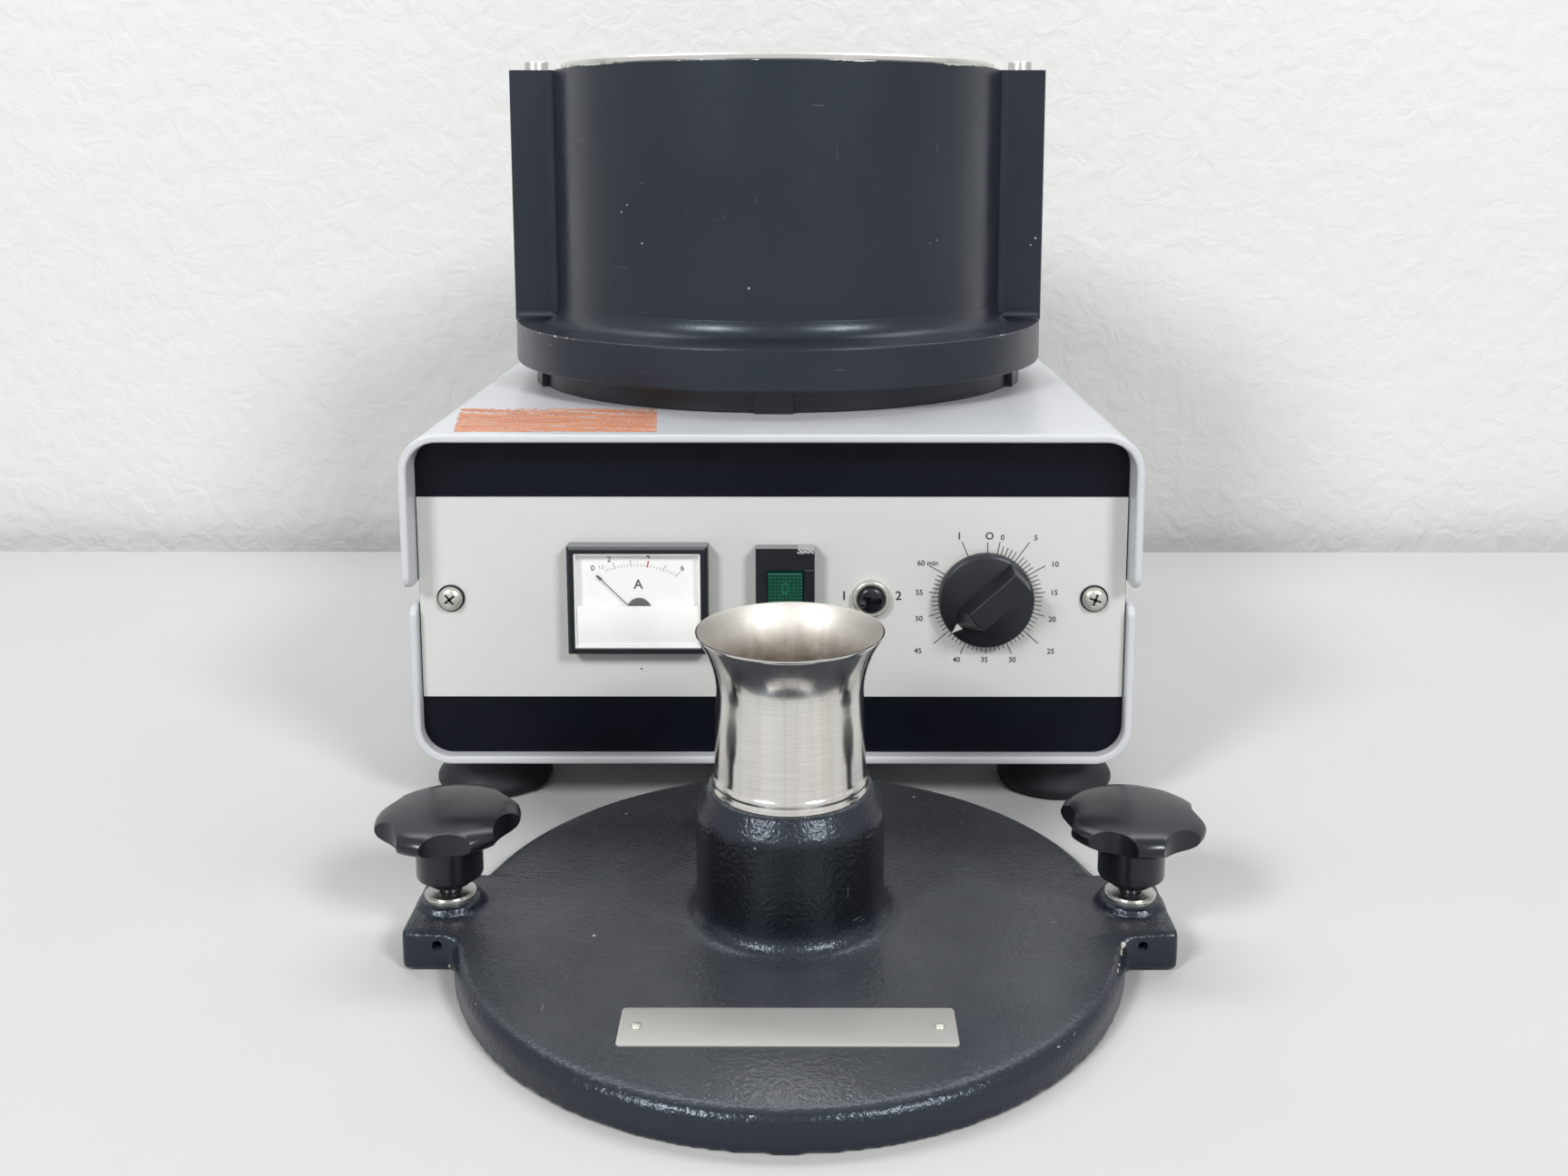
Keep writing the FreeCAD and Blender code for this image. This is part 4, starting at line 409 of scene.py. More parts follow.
def plain_paint(name, colour, rough=0.4, speck=(0.2, 0.2, 0.2), grain=600, depth=0.00015,
                gloss=0.5, top_sheen=0.0):
    """Paint or moulded plastic: a fine grain, faint wear, and a painted highlight on upward faces.
    """
    f = Finish(name)
    tone = f.mix(f.ramp(f.noise(16, 4), 0.3, 0.75), shade(colour, 0.85), shade(colour, 1.15))
    tone = f.mix(f.times(f.ramp(f.noise(240, 5, 0.7), 0.66, 0.8), 0.35), tone, speck)
    if top_sheen:
        # Painted highlight: upward faces are mixed toward pale grey, as where light falls on the
        # tops.
        up = f.ramp(f.facing()[2], 0.55, 0.95, 0.0, top_sheen)
        tone = f.mix(up, tone, (0.42, 0.43, 0.43))
    f.feed(Base_Color=tone, Specular_IOR_Level=gloss, Specular_Tint=(0.84, 0.9, 1.0, 1),
           Roughness=f.ramp(f.noise(60, 4), 0.3, 0.75, rough * 0.85, rough * 1.2))
    f.relief(f.noise(grain, 3), 0.3, depth)
    return f.material


def bare_metal(name, colour, rough, grain=(1, 1, 1), grain_size=900, amount=0.25, depth=0.00006,
               stain=(0.3, 0.27, 0.22), stains=0.15, metallic=1.0):
    """Metal with machined or brushed grain, and dull stains."""
    f = Finish(name)
    lines = f.streaks(grain, detail=3, rough=0.55, size=grain_size)
    tone = f.mix(f.ramp(lines, 0.3, 0.7), shade(colour, 1 - amount), colour)
    dull = f.times(f.ramp(f.noise(45, 5, 0.65), 0.55, 0.8), stains)
    brushed = f.ramp(lines, 0.25, 0.75, rough * 0.8, rough * 1.25)
    f.feed(Base_Color=f.mix(dull, tone, stain), Metallic=metallic,
           Roughness=f.plus(brushed, f.times(dull, 0.6)))
    f.relief(lines, 0.3, depth)
    return f.material


def flat_ink(name, colour, rough=0.55):
    """Printed ink with slightly uneven density."""
    f = Finish(name)
    thin = tuple(min(1, c * 1.3 + 0.02) for c in colour)
    f.feed(Base_Color=f.mix(f.ramp(f.noise(900, 3), 0.35, 0.75), colour, thin), Roughness=rough)
    return f.material


def funnel_finish(name):
    """Spun steel: fine rings, drawn streaks that run down it, and pale brown dust low inside."""
    f = Finish(name)
    dx, dy, away, z = f.from_axis(LID)
    wrap = f.add("ShaderNodeCombineXYZ", {
        "X": f.maths("ARCTAN2", dy, dx), "Y": away, "Z": z}).outputs["Vector"]
    rings = f.streaks((2, 300, 1500), detail=3, place=wrap)
    drawn = f.streaks((9, 0, 5), detail=4, rough=0.55, place=wrap)
    tone = f.mix(f.ramp(rings, 0.35, 0.7), (0.66, 0.645, 0.62), (0.76, 0.745, 0.715))
    tone = f.mix(f.ramp(drawn, 0.45, 0.75, 0.0, 0.4), tone, (0.5, 0.45, 0.38))
    nx, ny = f.facing()[:2]
    inner = f.ramp(f.plus(f.times(nx, dx), f.times(ny, dy)), 0.002, -0.002)
    dusty = f.times(f.times(f.ramp(z, 0.128, 0.112), inner),
                    f.ramp(f.noise(130, 5, 0.6), 0.2, 0.6, 0.55, 1.0))
    tone = f.mix(f.times(inner, 0.7), tone, (0.46, 0.44, 0.41))
    brushed = f.plus(f.ramp(drawn, 0.3, 0.75, 0.11, 0.2), f.times(inner, 0.34))
    f.feed(Base_Color=f.mix(dusty, tone, (0.2, 0.16, 0.125)), Metallic=1.0,
           Roughness=f.plus(brushed, f.times(dusty, 0.4)))
    f.relief(f.plus(rings, f.times(drawn, 0.6)), 0.25, 0.00006)
    return f.material


def pane_finish(name):
    """A clear pane with faint wiping marks."""
    f = Finish(name)
    f.feed(Base_Color=(0.97, 0.98, 0.98, 1), Alpha=0.06, Specular_IOR_Level=0.4,
           Roughness=f.ramp(f.noise(90, 4), 0.4, 0.9, 0.02, 0.1))
    return f.material


def rocker_finish(name):
    """Green moulded plastic with rows of small raised diamonds."""
    f = Finish(name)
    x, _, z = f.split(f.place)
    across, up = (f.maths("PINGPONG", f.plus(way, 1.0), 0.0009) for way in (x, z))
    stud = f.times(f.maths("MINIMUM", across, up), 1100)
    tone = f.mix(stud, (0.001, 0.035, 0.022), (0.004, 0.16, 0.09))
    wear = f.ramp(f.noise(300, 4), 0.5, 0.8)
    f.feed(Base_Color=f.mix(wear, tone, (0.003, 0.07, 0.045)), Roughness=0.25)
    f.relief(stud, 0.8, 0.0004)
    return f.material


def tape_finish(name):
    """Torn orange tape: streaks of red and pale paper, and bare patches."""
    f = Finish(name)
    drawn = f.streaks((22, 420, 1), (0, 0, 0.05), 4, 0.6)
    tone = f.mix(f.ramp(drawn, 0.42, 0.6), (0.56, 0.2, 0.1), (0.68, 0.34, 0.22))
    tone = f.mix(f.ramp(drawn, 0.63, 0.71), tone, (0.4, 0.1, 0.05))
    patches = f.ramp(f.noise(380, 5, 0.7), 0.64, 0.72)
    f.feed(Base_Color=f.mix(patches, tone, (0.72, 0.55, 0.45)), Roughness=0.6)
    f.relief(drawn, 0.8, 0.0003)
    return f.material


DARK = (0.0078, 0.0112, 0.0185)
COVER = (0.63, 0.65, 0.68)

# The last numbers are the lighter tops (dust with a painted sheen) and, for the lid, the axis round
# which the neck has a painted shade.
casting_chamber = casting_paint("chamber_paint", DARK, 0.3, 0.3, 2.2, [
    (AXIS, DRUM, 370.5, 2.6, 0.9), (AXIS, FLANGE, FLANGE_TOP, 2.4, 0.75),
    (AXIS, FLANGE, 205.5, 2.0, 0.3)], 0.6, 0.04)
casting_lid = casting_paint("lid_paint", DARK, 0.24, 1.5, 1.7, [
    (LID, 135.6, 13.4, 3.0, 1.0), (LID, 33.4, 69.0, 1.2, 0.2), (LID, 38.9, 59.5, 1.2, 0.2)],
    0.7, 0.072, LID)
ring_black = plain_paint("ring_black", (0.006, 0.006, 0.007), 0.35, (0.05, 0.05, 0.05))
cover_enamel = enamel("cover_enamel", COVER, 0.32)
band_black = plain_paint("band_black", (0.0022, 0.003, 0.0068), 0.4, (0.025, 0.03, 0.04), 600,
                         0.0001, 0.16)
# Its upward faces, such as the meter bezel's top, carry a strong painted highlight.
trim_black = plain_paint("trim_black", (0.011, 0.0125, 0.016), 0.4, (0.06, 0.06, 0.065), 600,
                         0.00012, 0.3, 0.55)
dial_black = plain_paint("dial_black", (0.011, 0.012, 0.016), 0.36, (0.09, 0.085, 0.08), 900,
                         0.00008, 0.4)
knob_black = plain_paint("knob_black", (0.006, 0.0065, 0.009), 0.24, (0.05, 0.05, 0.055), 900,
                         0.00004, 0.5)
rubber = plain_paint("foot_rubber", (0.014, 0.014, 0.016), 0.55, (0.1, 0.1, 0.1), 700, 0.0002, 0.3)
zinc = bare_metal("zinc_sheet", (0.42, 0.43, 0.44), 0.42, grain_size=120)
panel_metal = bare_metal("panel_metal", (0.68, 0.68, 0.665), 0.45, (1, 8, 30), 300, 0.04, 0.00003,
                         (0.5, 0.5, 0.48), 0.1, 0.1)
polished = bare_metal("polished_steel", (0.74, 0.72, 0.69), 0.18, (1, 1, 26), 300, 0.1, 0.00001,
                      (0.55, 0.5, 0.42), 0.12)
turned = bare_metal("turned_steel", (0.6, 0.59, 0.57), 0.26, (1, 1, 30), 420, 0.12, 0.00003)
plated = bare_metal("plated_steel", (0.6, 0.59, 0.54), 0.34, grain_size=700, stains=0.2,
                    metallic=0.55)
label_metal = bare_metal("label_metal", (0.46, 0.455, 0.435), 0.4, (6, 60, 1), 200, 0.12, 0.00003,
                         (0.4, 0.38, 0.34), 0.3, 0.3)
brass_metal = bare_metal("brass", (0.7, 0.5, 0.24), 0.3)
print_black = flat_ink("print_black", (0.012, 0.012, 0.014))
print_red = flat_ink("print_red", (0.5, 0.02, 0.02))
print_white = flat_ink("print_white", (0.75, 0.75, 0.73))
dial_card = flat_ink("dial_card", (0.94, 0.94, 0.93), 0.5)
mask_white = plain_paint("mask_white", (0.97, 0.965, 0.94), 0.35, (0.8, 0.78, 0.72), 500, 0.00005)
funnel_steel = funnel_finish("funnel_steel")
clear_pane = pane_finish("clear_pane")
needle_black = flat_ink("needle_black", (0.01, 0.01, 0.011), 0.4)
chipped_edge = plain_paint("chipped_edge", (0.5, 0.5, 0.48), 0.45, (0.02, 0.02, 0.02), 1500, 0.0004)
green_pale = plain_paint("green_pale", (0.02, 0.2, 0.12), 0.25, (0.1, 0.3, 0.2), 900, 0.00004)
fan_plastic = plain_paint("fan_plastic", (0.02, 0.02, 0.022), 0.45, (0.1, 0.1, 0.1))
board_green = plain_paint("board_green", (0.01, 0.09, 0.04), 0.4, (0.2, 0.25, 0.2))
stack_steel = bare_metal("stack_steel", (0.25, 0.24, 0.23), 0.5, (1, 1, 60), 400)
carbon_black = plain_paint("carbon_black", (0.02, 0.02, 0.02), 0.6)
green = rocker_finish("rocker_green")
tape_orange = tape_finish("torn_tape")


# Cabinet

def cover_shell(name, node, side_low, crown, front, back, nick):
    """A folded sheet cover: two sides and a crown, with rounded folds and rims."""
    half, corner, wall_thickness = 177.0, 18.5, 4.0
    mesh = bmesh.new()
    line = [mesh.verts.new((x, front, z)) for x, z in (
        (-half, side_low), (-half, crown), (half, crown), (half, side_low))]
    edges = [mesh.edges.new(pair) for pair in zip(line, line[1:])]
    made = bmesh.ops.extrude_edge_only(mesh, edges=edges)["geom"]
    shift(mesh, y=back - front, verts=[g for g in made if isinstance(g, bmesh.types.BMVert)])
    tips = [v for v in mesh.verts if abs(v.co.z - side_low) < 0.01 and v.co.y < front + 1]
    round_off(mesh, tips, nick, 6, "VERTICES")
    round_off(mesh, [e for e in mesh.edges if len(e.link_faces) == 2], corner, 14)
    outward(mesh)
    top = max(mesh.faces, key=lambda f: f.calc_area() * abs(f.normal.z))
    if top.normal.z * (crown - side_low) < 0:
        bmesh.ops.reverse_faces(mesh, faces=mesh.faces)
    bmesh.ops.solidify(mesh, geom=mesh.faces[:], thickness=wall_thickness)
    shift(outward(mesh), MIDDLE)
    store(name, mesh, "cabinet", cover_enamel, (node,), bevel=1.3, segments=4)


def panel_marks():
    """Printed numbers and lines: the timer's dial and the toggle's two positions."""
    y, line = PANEL_Y - 0.05, 0.42
    mesh = bmesh.new()
    centre = (104.7 + MIDDLE, CONTROL_Z)
    angles = [12 + minute * 4.8 for minute in range(61)] + [0, -24]
    for index, angle in enumerate(angles):
        turn = math.radians(angle)
        outer = 27.1
        if index % 5 == 0 or index > 60:
            outer = min(28.3 / max(abs(math.sin(turn)), abs(math.cos(turn))), 34.5)
        add_mark(mesh, (centre[0], y, centre[1]), turn, 22.7, outer, line)
    for words, dx, dz in (
            ("0", 7.1, 30.3), ("5", 23.3, 30.2), ("10", 32.9, 16.9), ("15", 32.8, 2.7),
            ("20", 32.2, -10.8), ("25", 31.8, -27.1), ("30", 13.0, -31.4), ("35", -0.7, -31.4),
            ("40", -14.4, -31.4), ("45", -33.3, -26.9), ("50", -33.0, -10.5), ("55", -33.0, 2.7),
            ("60 min", -29.0, 17.5), ("O", 0.8, 31.0), ("I", -13.9, 31.0)):
        size = 5.0 if words in "OI" else 3.7
        add_lettering(mesh, words, size, (centre[0] + dx, y, centre[1] + dz))
    for words, x in (("1", 35.0), ("2", 61.6)):
        add_lettering(mesh, words, 6.2, (x + MIDDLE, y, 110.2))
    dot_x, dot_z = -64.5 + MIDDLE, 73.2
    rod(mesh, (dot_x, y, dot_z), (dot_x, y - 0.05, dot_z), 0.5, 12)
    store("panel_print", mesh, "cabinet", print_black, smooth=20)


def cross_screws():
    """Pan head screws with a cross recess, black blocks in the recess that paint its shade, and
    black washers.
    """
    head = bmesh.new()
    spun(head, [(0, -13), (3, -13), (3, 0), (5.9, 0), (5.9, 1.0), (5.2, 2.2), (3.6, 3.0),
                (0, 3.3)], steps=48, closed=False)
    for long_x, long_y in ((3.9, 0.75), (0.75, 3.9)):
        tool = bmesh.new()
        for v in block(tool, (-long_x, -long_y, 0.4), (long_x, long_y, 5)):
            if v.co.z < 2:
                v.co.x *= 0.55
                v.co.y *= 0.55
        head = cut(head, tool)
    form = as_data("screw_form", head)
    heads, recess_shade_blocks, washers = bmesh.new(), bmesh.new(), bmesh.new()
    for x, turn in SCREWS:
        place = (x + MIDDLE, PANEL_Y - 1, CONTROL_Z)
        before = set(heads.verts)
        heads.from_mesh(form)
        face_forward(heads, added(heads, before), place, turn)
        # Painted shade: a black cross of blocks fills each recess, standing for the shade in it.
        before = set(recess_shade_blocks.verts)
        block(recess_shade_blocks, (-3.5, -0.7, 0.3), (3.5, 0.7, 2.75))
        block(recess_shade_blocks, (-0.7, -3.5, 0.3), (0.7, 3.5, 2.75))
        face_forward(recess_shade_blocks, added(recess_shade_blocks, before), place, turn)
        made = spun(washers, [(3.3, 0), (6.8, 0), (6.8, 0.7), (6.5, 1.0), (3.3, 1.0)], steps=48)
        face_forward(washers, made, (x + MIDDLE, PANEL_Y, CONTROL_Z))
    store("cross_screws", heads, "cabinet", plated, ("panel_screws",), smooth=35,
          bevel=0.18, segments=2)
    store("recess_shade", recess_shade_blocks, "cabinet", print_black, smooth=20)
    store("screw_cups", washers, "cabinet", trim_black, ("screw_washers",))


def rubber_feet():
    mesh = bmesh.new()
    for x in (-146, 146):
        for y in (PANEL_Y + 38, PANEL_Y + 184 * 2 - 38):
            spun(mesh, [(7, 0.2), (25.5, 0), (28.2, 1.2), (29.4, 3.4), (29.3, 5.2), (28.4, 6.8),
                        (25.0, 12.0), (22.6, 18.5), (21.6, 25.5), (3.3, 25.5), (3.3, 8.5),
                        (7, 8.5)], (x + MIDDLE, y), 72)
    store("rubber_feet", mesh, "cabinet", rubber, ("feet",), smooth=50)


def lugged_ring():
    """The ring between hood and chamber, with five lugs."""
    mesh = bmesh.new()
    spun(mesh, [(112, 193.0), (140, 193.0), (140, 205.5), (112, 205.5)], AXIS)
    soften(mesh, 0.8, 2)
    for angle in range(0, 360, 72):
        made = block(mesh, (-10, -143, 193.0), (10, -136, 205.3))
        bmesh.ops.transform(mesh, verts=made, matrix=Matrix.Translation((*AXIS, 0))
                            @ Matrix.Rotation(math.radians(angle), 4, "Z"))
    store("lugged_ring", mesh, "cabinet", ring_black, ("support_ring",),
          bevel=0.5)


# Chamber

def chamber_casting():
    """Drum with two ears on a thick flange, all in one casting."""
    ear_out, gap = 152.6, 2.6
    start = math.degrees(math.asin(EAR_HALF / DRUM))
    outline = []
    for flip, side in ((1, 0), (-1, 180)):
        root = flip * math.cos(math.radians(start)) * DRUM
        outline += [(root, -flip * EAR_HALF), (flip * ear_out, -flip * EAR_HALF),
                    (flip * ear_out, flip * EAR_HALF), (root, flip * EAR_HALF)]
        for step in range(79):
            angle = math.radians(side + start + gap + (180 - 2 * start - 2 * gap) * step / 78)
            outline.append((math.cos(angle) * DRUM, math.sin(angle) * DRUM))
    mesh = bmesh.new()
    plate = mesh.faces.new([mesh.verts.new((x, y, 227.9)) for x, y in outline])
    pull(mesh, [plate], (0, 0, 142.6), keep=True)
    outward(mesh)
    for low_x, high_x, width, segments in ((150, 160, 2.0, 4), (120, 128, 5.0, 6)):
        upright = []
        for edge in mesh.edges:
            first, last = (v.co for v in edge.verts)
            if (abs(first.z - last.z) > 100 and low_x < abs(first.x) < high_x
                    and abs(abs(first.y) - EAR_HALF) < 0.05):
                upright.append(edge)
        round_off(mesh, upright, width, segments)
    shift(mesh, *AXIS)
    bore = bmesh.new()
    spun(bore, [(0, 237.5), (122.8, 237.5), (122.8, 372), (0, 372)], AXIS, 128)
    for x, y in STUDS:
        rod(bore, (x, y, 348), (x, y, 372), 6.9, 40)
    mesh = cut(mesh, bore)
    spun(mesh, [(60, 206.5), (112.5, 206.5), (112.5, 205.5), (152.6, 205.5), (153.6, 205.9),
                (FLANGE, 206.9), (FLANGE, 226.6), (153.6, 227.6), (152.6, FLANGE_TOP),
                (128, FLANGE_TOP), (60, FLANGE_TOP)], AXIS, 192)
    spun(mesh, [(127, 227.9), (139.4, 227.95), (136.2, 228.6), (133.2, 230.4), (131.0, 233.0),
                (129.8, 236.0), (129.45, 239.0), (127, 239.0)], AXIS, 192)
    spun(mesh, [(9.4, 237), (36, 237), (36, 315.5), (17.6, 315.5), (17.6, 290), (9.4, 290)],
         AXIS, 64)
    store("chamber_casting", mesh, "cabinet", casting_chamber,
          ("chamber_housing",), smooth=34, bevel=0.9)
    ear_fillets(ear_out)
    studs = bmesh.new()
    for place in STUDS:
        spun(studs, [(4.4, 348), (6.85, 348), (6.85, 376.5), (4.4, 376.5)], place, 56)
    soften(studs, 1.1, 3, lambda p: p.z > 376 and any(
        abs(math.hypot(p.x - x, p.y - y) - 6.85) < 0.1 for x, y in STUDS))
    store("tapped_studs", studs, "cabinet", turned, ("lid_studs",), smooth=40)
    pan = bmesh.new()
    spun(pan, [(50.3, 239), (122, 239), (122, 370.5), (125.2, 370.5), (125.4, 371.5),
               (125.4, 373.2), (124.6, 374), (121.6, 374), (120.5, 373.2), (120.5, 240.5),
               (51.8, 240.5), (51.8, 317), (55.2, 317), (55.2, 318.5), (50.3, 318.5)], AXIS, 192)
    store("bright_pan", pan, "pan", polished, ("collecting_pan",), smooth=40)


def ear_fillets(ear_out):
    """The blends where the two ears stand on the flange, kept inside the flange's edge."""
    radius, limit = 5.2, FLANGE - 0.4
    mesh = bmesh.new()
    for side in SIDES:
        rim = None
        for step in range(7):
            turn = math.radians(step * 15)
            out, rise = radius * (1 - math.sin(turn)), radius * (1 - math.cos(turn))
            half_x, half_y = 13 + out, EAR_HALF + out
            ring = []
            for way_x, way_y in ((-1, -1), (1, -1), (1, 1), (-1, 1)):
                x, y = side * (ear_out - 15) + way_x * half_x, way_y * half_y
                reach = math.hypot(x, y)
                if reach > limit:
                    x *= limit / reach
                ring.append(mesh.verts.new((AXIS[0] + x, AXIS[1] + y, FLANGE_TOP + rise)))
            for i in range(4 if rim else 0):
                mesh.faces.new((rim[i - 1], rim[i], ring[i], ring[i - 1]))
            rim = ring
    store("ear_fillets", outward(mesh), "cabinet", casting_chamber, smooth=60)


# Meter and switches

def meter():
    """Ammeter: bevelled black frame, cream liner, printed card, white cover, pane and needle."""
    def layer(mesh, half_x, half_z, back, front, top=None):
        """A plate round the meter's middle; its depths are in front of the panel."""
        x, z = METER
        return block(mesh, (x - half_x, PANEL_Y - front, z - half_z),
                     (x + half_x, PANEL_Y - back, z + half_z if top is None else top))

    bezel = bmesh.new()
    block(bezel, (-34, PANEL_Y - 9.5, -27), (34, PANEL_Y, 27))
    soften(bezel, 1.5, 1, lambda p: p.y < PANEL_Y - 9)
    soften(bezel, 0.5, 2, lambda p: PANEL_Y - 9 < p.y < PANEL_Y - 1)
    bezel = cut_block(bezel, (-30.7, PANEL_Y - 12, -23.7), (30.7, PANEL_Y - 3.4, 23.7))
    shift(bezel, METER[0], z=METER[1])
    store("meter_bezel", bezel, "cabinet", trim_black, ("meter_frame",), smooth=20,
          bevel=0.25)
    liner = bmesh.new()
    block(liner, (-30.6, PANEL_Y - 8.7, -23.6), (30.6, PANEL_Y - 3.6, 23.6))
    liner = cut_block(liner, (-29.7, PANEL_Y - 12, -22.7), (29.7, PANEL_Y - 4.6, 22.7))
    shift(liner, METER[0], z=METER[1])
    store("meter_liner", liner, "cabinet", mask_white, bevel=0.15)
    card = bmesh.new()
    layer(card, 29.7, 22.7, 4.2, 5.0)
    soften(card, 0.1, 1)
    store("meter_card", card, "cabinet", dial_card, ("meter_dial",))
    cover = bmesh.new()
    layer(cover, 29.6, 22.6, 6.8, 7.6, 107.3)
    layer(cover, 29.6, 22.6, 5.0, 6.8, 94)
    soften(cover, 0.18, 2)
    store("meter_cover", cover, "cabinet", mask_white, ("meter_mask",))
    pane = bmesh.new()
    layer(pane, 30.4, 23.4, 8.75, 9.0)
    soften(pane, 0.08, 1)
    store("meter_pane", pane, "cabinet", clear_pane, ("meter_glass",))
    meter_scale()

    hub = bmesh.new()
    made = spun(hub, [(0, 5.1), (5.85, 5.1), (5.85, 5.6), (5.5, 5.9), (0, 5.9)], steps=64,
                closed=False)
    face_forward(hub, made, (-66.0, PANEL_Y, 105.05))
    store("meter_hub", hub, "cabinet", needle_black, smooth=40)
    hand = bmesh.new()
    for half, tip_half, low, high in ((0.22, 0.22, 0, 22.0), (0.75, 0.375, 18.9, 22.2)):
        made = block(hand, (-half, -0.15, low), (half, 0.15, high))
        for v in made:
            if v.co.z > high - 0.1:
                v.co.x *= tip_half / half
        bmesh.ops.transform(hand, verts=made, matrix=Matrix.Translation(
            (-70.7, PANEL_Y - 6.05, 106.7)) @ Matrix.Rotation(math.radians(-45), 4, "Y"))
    store("meter_hand", hand, "needle", needle_black, ("meter_needle",),
          bevel=0.08, segments=1)


def meter_scale():
    """The meter's printed arc of marks, which lean out from the middle, and its numbers."""
    y = PANEL_Y - 5.04
    black, red = bmesh.new(), bmesh.new()

    def arc_mark(mesh, angle, length, width):
        turn = math.radians(angle)
        place = (-67.5 + 40.1 * math.sin(turn), y, 86.3 + 40.1 * math.cos(turn))
        add_mark(mesh, place, turn * 1.6, 0, length, width)

    numbered = (-14.0, -3.2, 8.0, 19.0, 28.6)
    for mark in range(21):
        unit = min(mark // 5, 3)
        share = (mark - unit * 5) / 5
        angle = numbered[unit] + (numbered[unit + 1] - numbered[unit]) * share
        length, width = (3.3, 0.26) if mark % 5 == 0 else (1.7, 0.17)
        if mark == 10:
            arc_mark(red, angle, length, 0.75)
        else:
            arc_mark(black, angle, length, width)
    for angle in (-20.6, -19.2, -17.4, -15.9):
        arc_mark(black, angle, 1.4, 0.15)
    for words, x, z, size, weight in (
            ("0", -88.3, 125.6, 3.7, 0.02), ("2", -80.3, 129.9, 3.7, 0.02),
            ("4", -61.4, 131.5, 3.7, 0.02), ("6", -44.9, 125.6, 3.7, 0.02),
            ("A", -66.3, 117.4, 6.6, 0.02), ("1,2", -84.2, 126.2, 2.3, 0.0)):
        add_lettering(black, words, size, (x, y, z), weight)
    store("meter_print", black, "cabinet", print_black, smooth=20)
    store("meter_red", red, "cabinet", print_red, smooth=20)


def rocker_switch():
    """Black housing with a broken corner, and the green rocker with its sign."""
    centre, middle = 4.9, 111.15
    front = PANEL_Y - 8
    housing = bmesh.new()
    block(housing, (-14.25, front, -25), (14.25, PANEL_Y, 25))
    housing = cut_block(housing, (-8.8, front - 3, -13.8), (8.8, PANEL_Y - 0.6, 13.8))
    housing = cut_block(housing, (9.4, front - 0.2, 14.2), (14.6, front + 0.35, 14.6))
    shift(housing, centre, z=middle)
    store("rocker_housing", housing, "cabinet", trim_black, ("rocker_frame",),
          smooth=20, bevel=0.5)
    chip = bmesh.new()
    block(chip, (6.2, front - 0.15, 22.6), (14.5, PANEL_Y - 1.2, 25.2))
    bmesh.ops.subdivide_edges(chip, edges=chip.edges, cuts=7, use_grid_fill=True)
    for v in chip.verts:
        v.co.x += 0.6 * math.sin(v.co.z * 4.1 + v.co.y * 1.3)
        v.co.z += 0.55 * math.sin(v.co.x * 1.9) * math.cos(v.co.y * 2.3)
        v.co.y += 0.3 * math.sin(v.co.x * 2.7 + v.co.z * 3.3)
    shift(chip, centre, z=middle)
    for v in chip.verts:
        v.co.x = min(v.co.x, centre + 14.35)
        v.co.z = min(v.co.z, middle + 25.1)
        v.co.y = max(v.co.y, front - 0.12)
    store("housing_chip", chip, "cabinet", chipped_edge, smooth=30)
    key = bmesh.new()
    outline = [(3.0, -13.5), (0.0, 0.0), (-3.0, 13.5), (7.5, 13.5), (9.0, 0.0), (7.5, -13.5)]
    face = key.faces.new([key.verts.new((-8.5, front + y, z)) for y, z in outline])
    pull(key, [face], (17, 0, 0))
    shift(outward(key), centre, z=middle)
    store("rocker_key", key, "switch_rocker", green, ("rocker",), smooth=20,
          bevel=0.6)
    sign = bmesh.new()
    made = spun(sign, [(1.75, 0), (2.3, 0), (2.3, 0.25), (1.75, 0.25)], steps=40)
    bmesh.ops.scale(sign, vec=(0.72, 1.35, 1), verts=made)
    slope = Matrix.Rotation(math.atan2(3.0, 13.5), 4, "X")
    bmesh.ops.transform(sign, verts=made, matrix=Matrix.Translation(
        (centre, front - 1.15, middle + 5.6)) @ slope @ Matrix.Rotation(math.pi / 2, 4, "X"))
    store("rocker_sign", sign, "switch_rocker", green_pale, smooth=40)


def toggle_switch():
    """Bright ring nut, black dome with a slot, and the short round-tipped lever."""
    place = (46.7, PANEL_Y, CONTROL_Z)
    nut = bmesh.new()
    made = spun(nut, [(6.9, 0), (9.3, 0), (9.3, 2.2), (8.9, 2.9), (8.2, 3.2), (7.3, 3.1),
                      (6.9, 2.7)], steps=96)
    face_forward(nut, made, place)
    store("ring_nut", nut, "cabinet", plated, ("toggle_nut",), smooth=40)
    dome = bmesh.new()
    spun(dome, [(0, 0), (6.65, 0), (6.65, 3.4), (6.3, 4.3), (5.5, 5.0), (4.2, 5.4), (0, 5.7)],
         steps=72, closed=False)
    dome = cut_block(dome, (-3.2, -1.9, 1.0), (3.2, 1.9, 8))
    for side in SIDES:
        slot_end = bmesh.new()
        rod(slot_end, (side * 3.2, 0, 1.0), (side * 3.2, 0, 8), 1.88)
        dome = cut(dome, slot_end)
    face_forward(dome, dome.verts[:], place)
    store("slotted_dome", dome, "cabinet", knob_black, ("toggle_body",), smooth=30,
          bevel=0.35)
    lever = bmesh.new()
    rod(lever, (0, 0, -3), (0, 0, 9.6), 1.25, 28, 1.45)
    bmesh.ops.create_uvsphere(lever, u_segments=32, v_segments=20, radius=1.95,
                              matrix=Matrix.Translation((0, 0, 9.9)))
    bmesh.ops.rotate(lever, cent=(0, 0, -3), matrix=Matrix.Rotation(math.radians(-20), 3, "Y"),
                     verts=lever.verts)
    face_forward(lever, lever.verts[:], place)
    store("short_lever", lever, "switch_lever", knob_black, ("toggle_lever",),
          smooth=50)


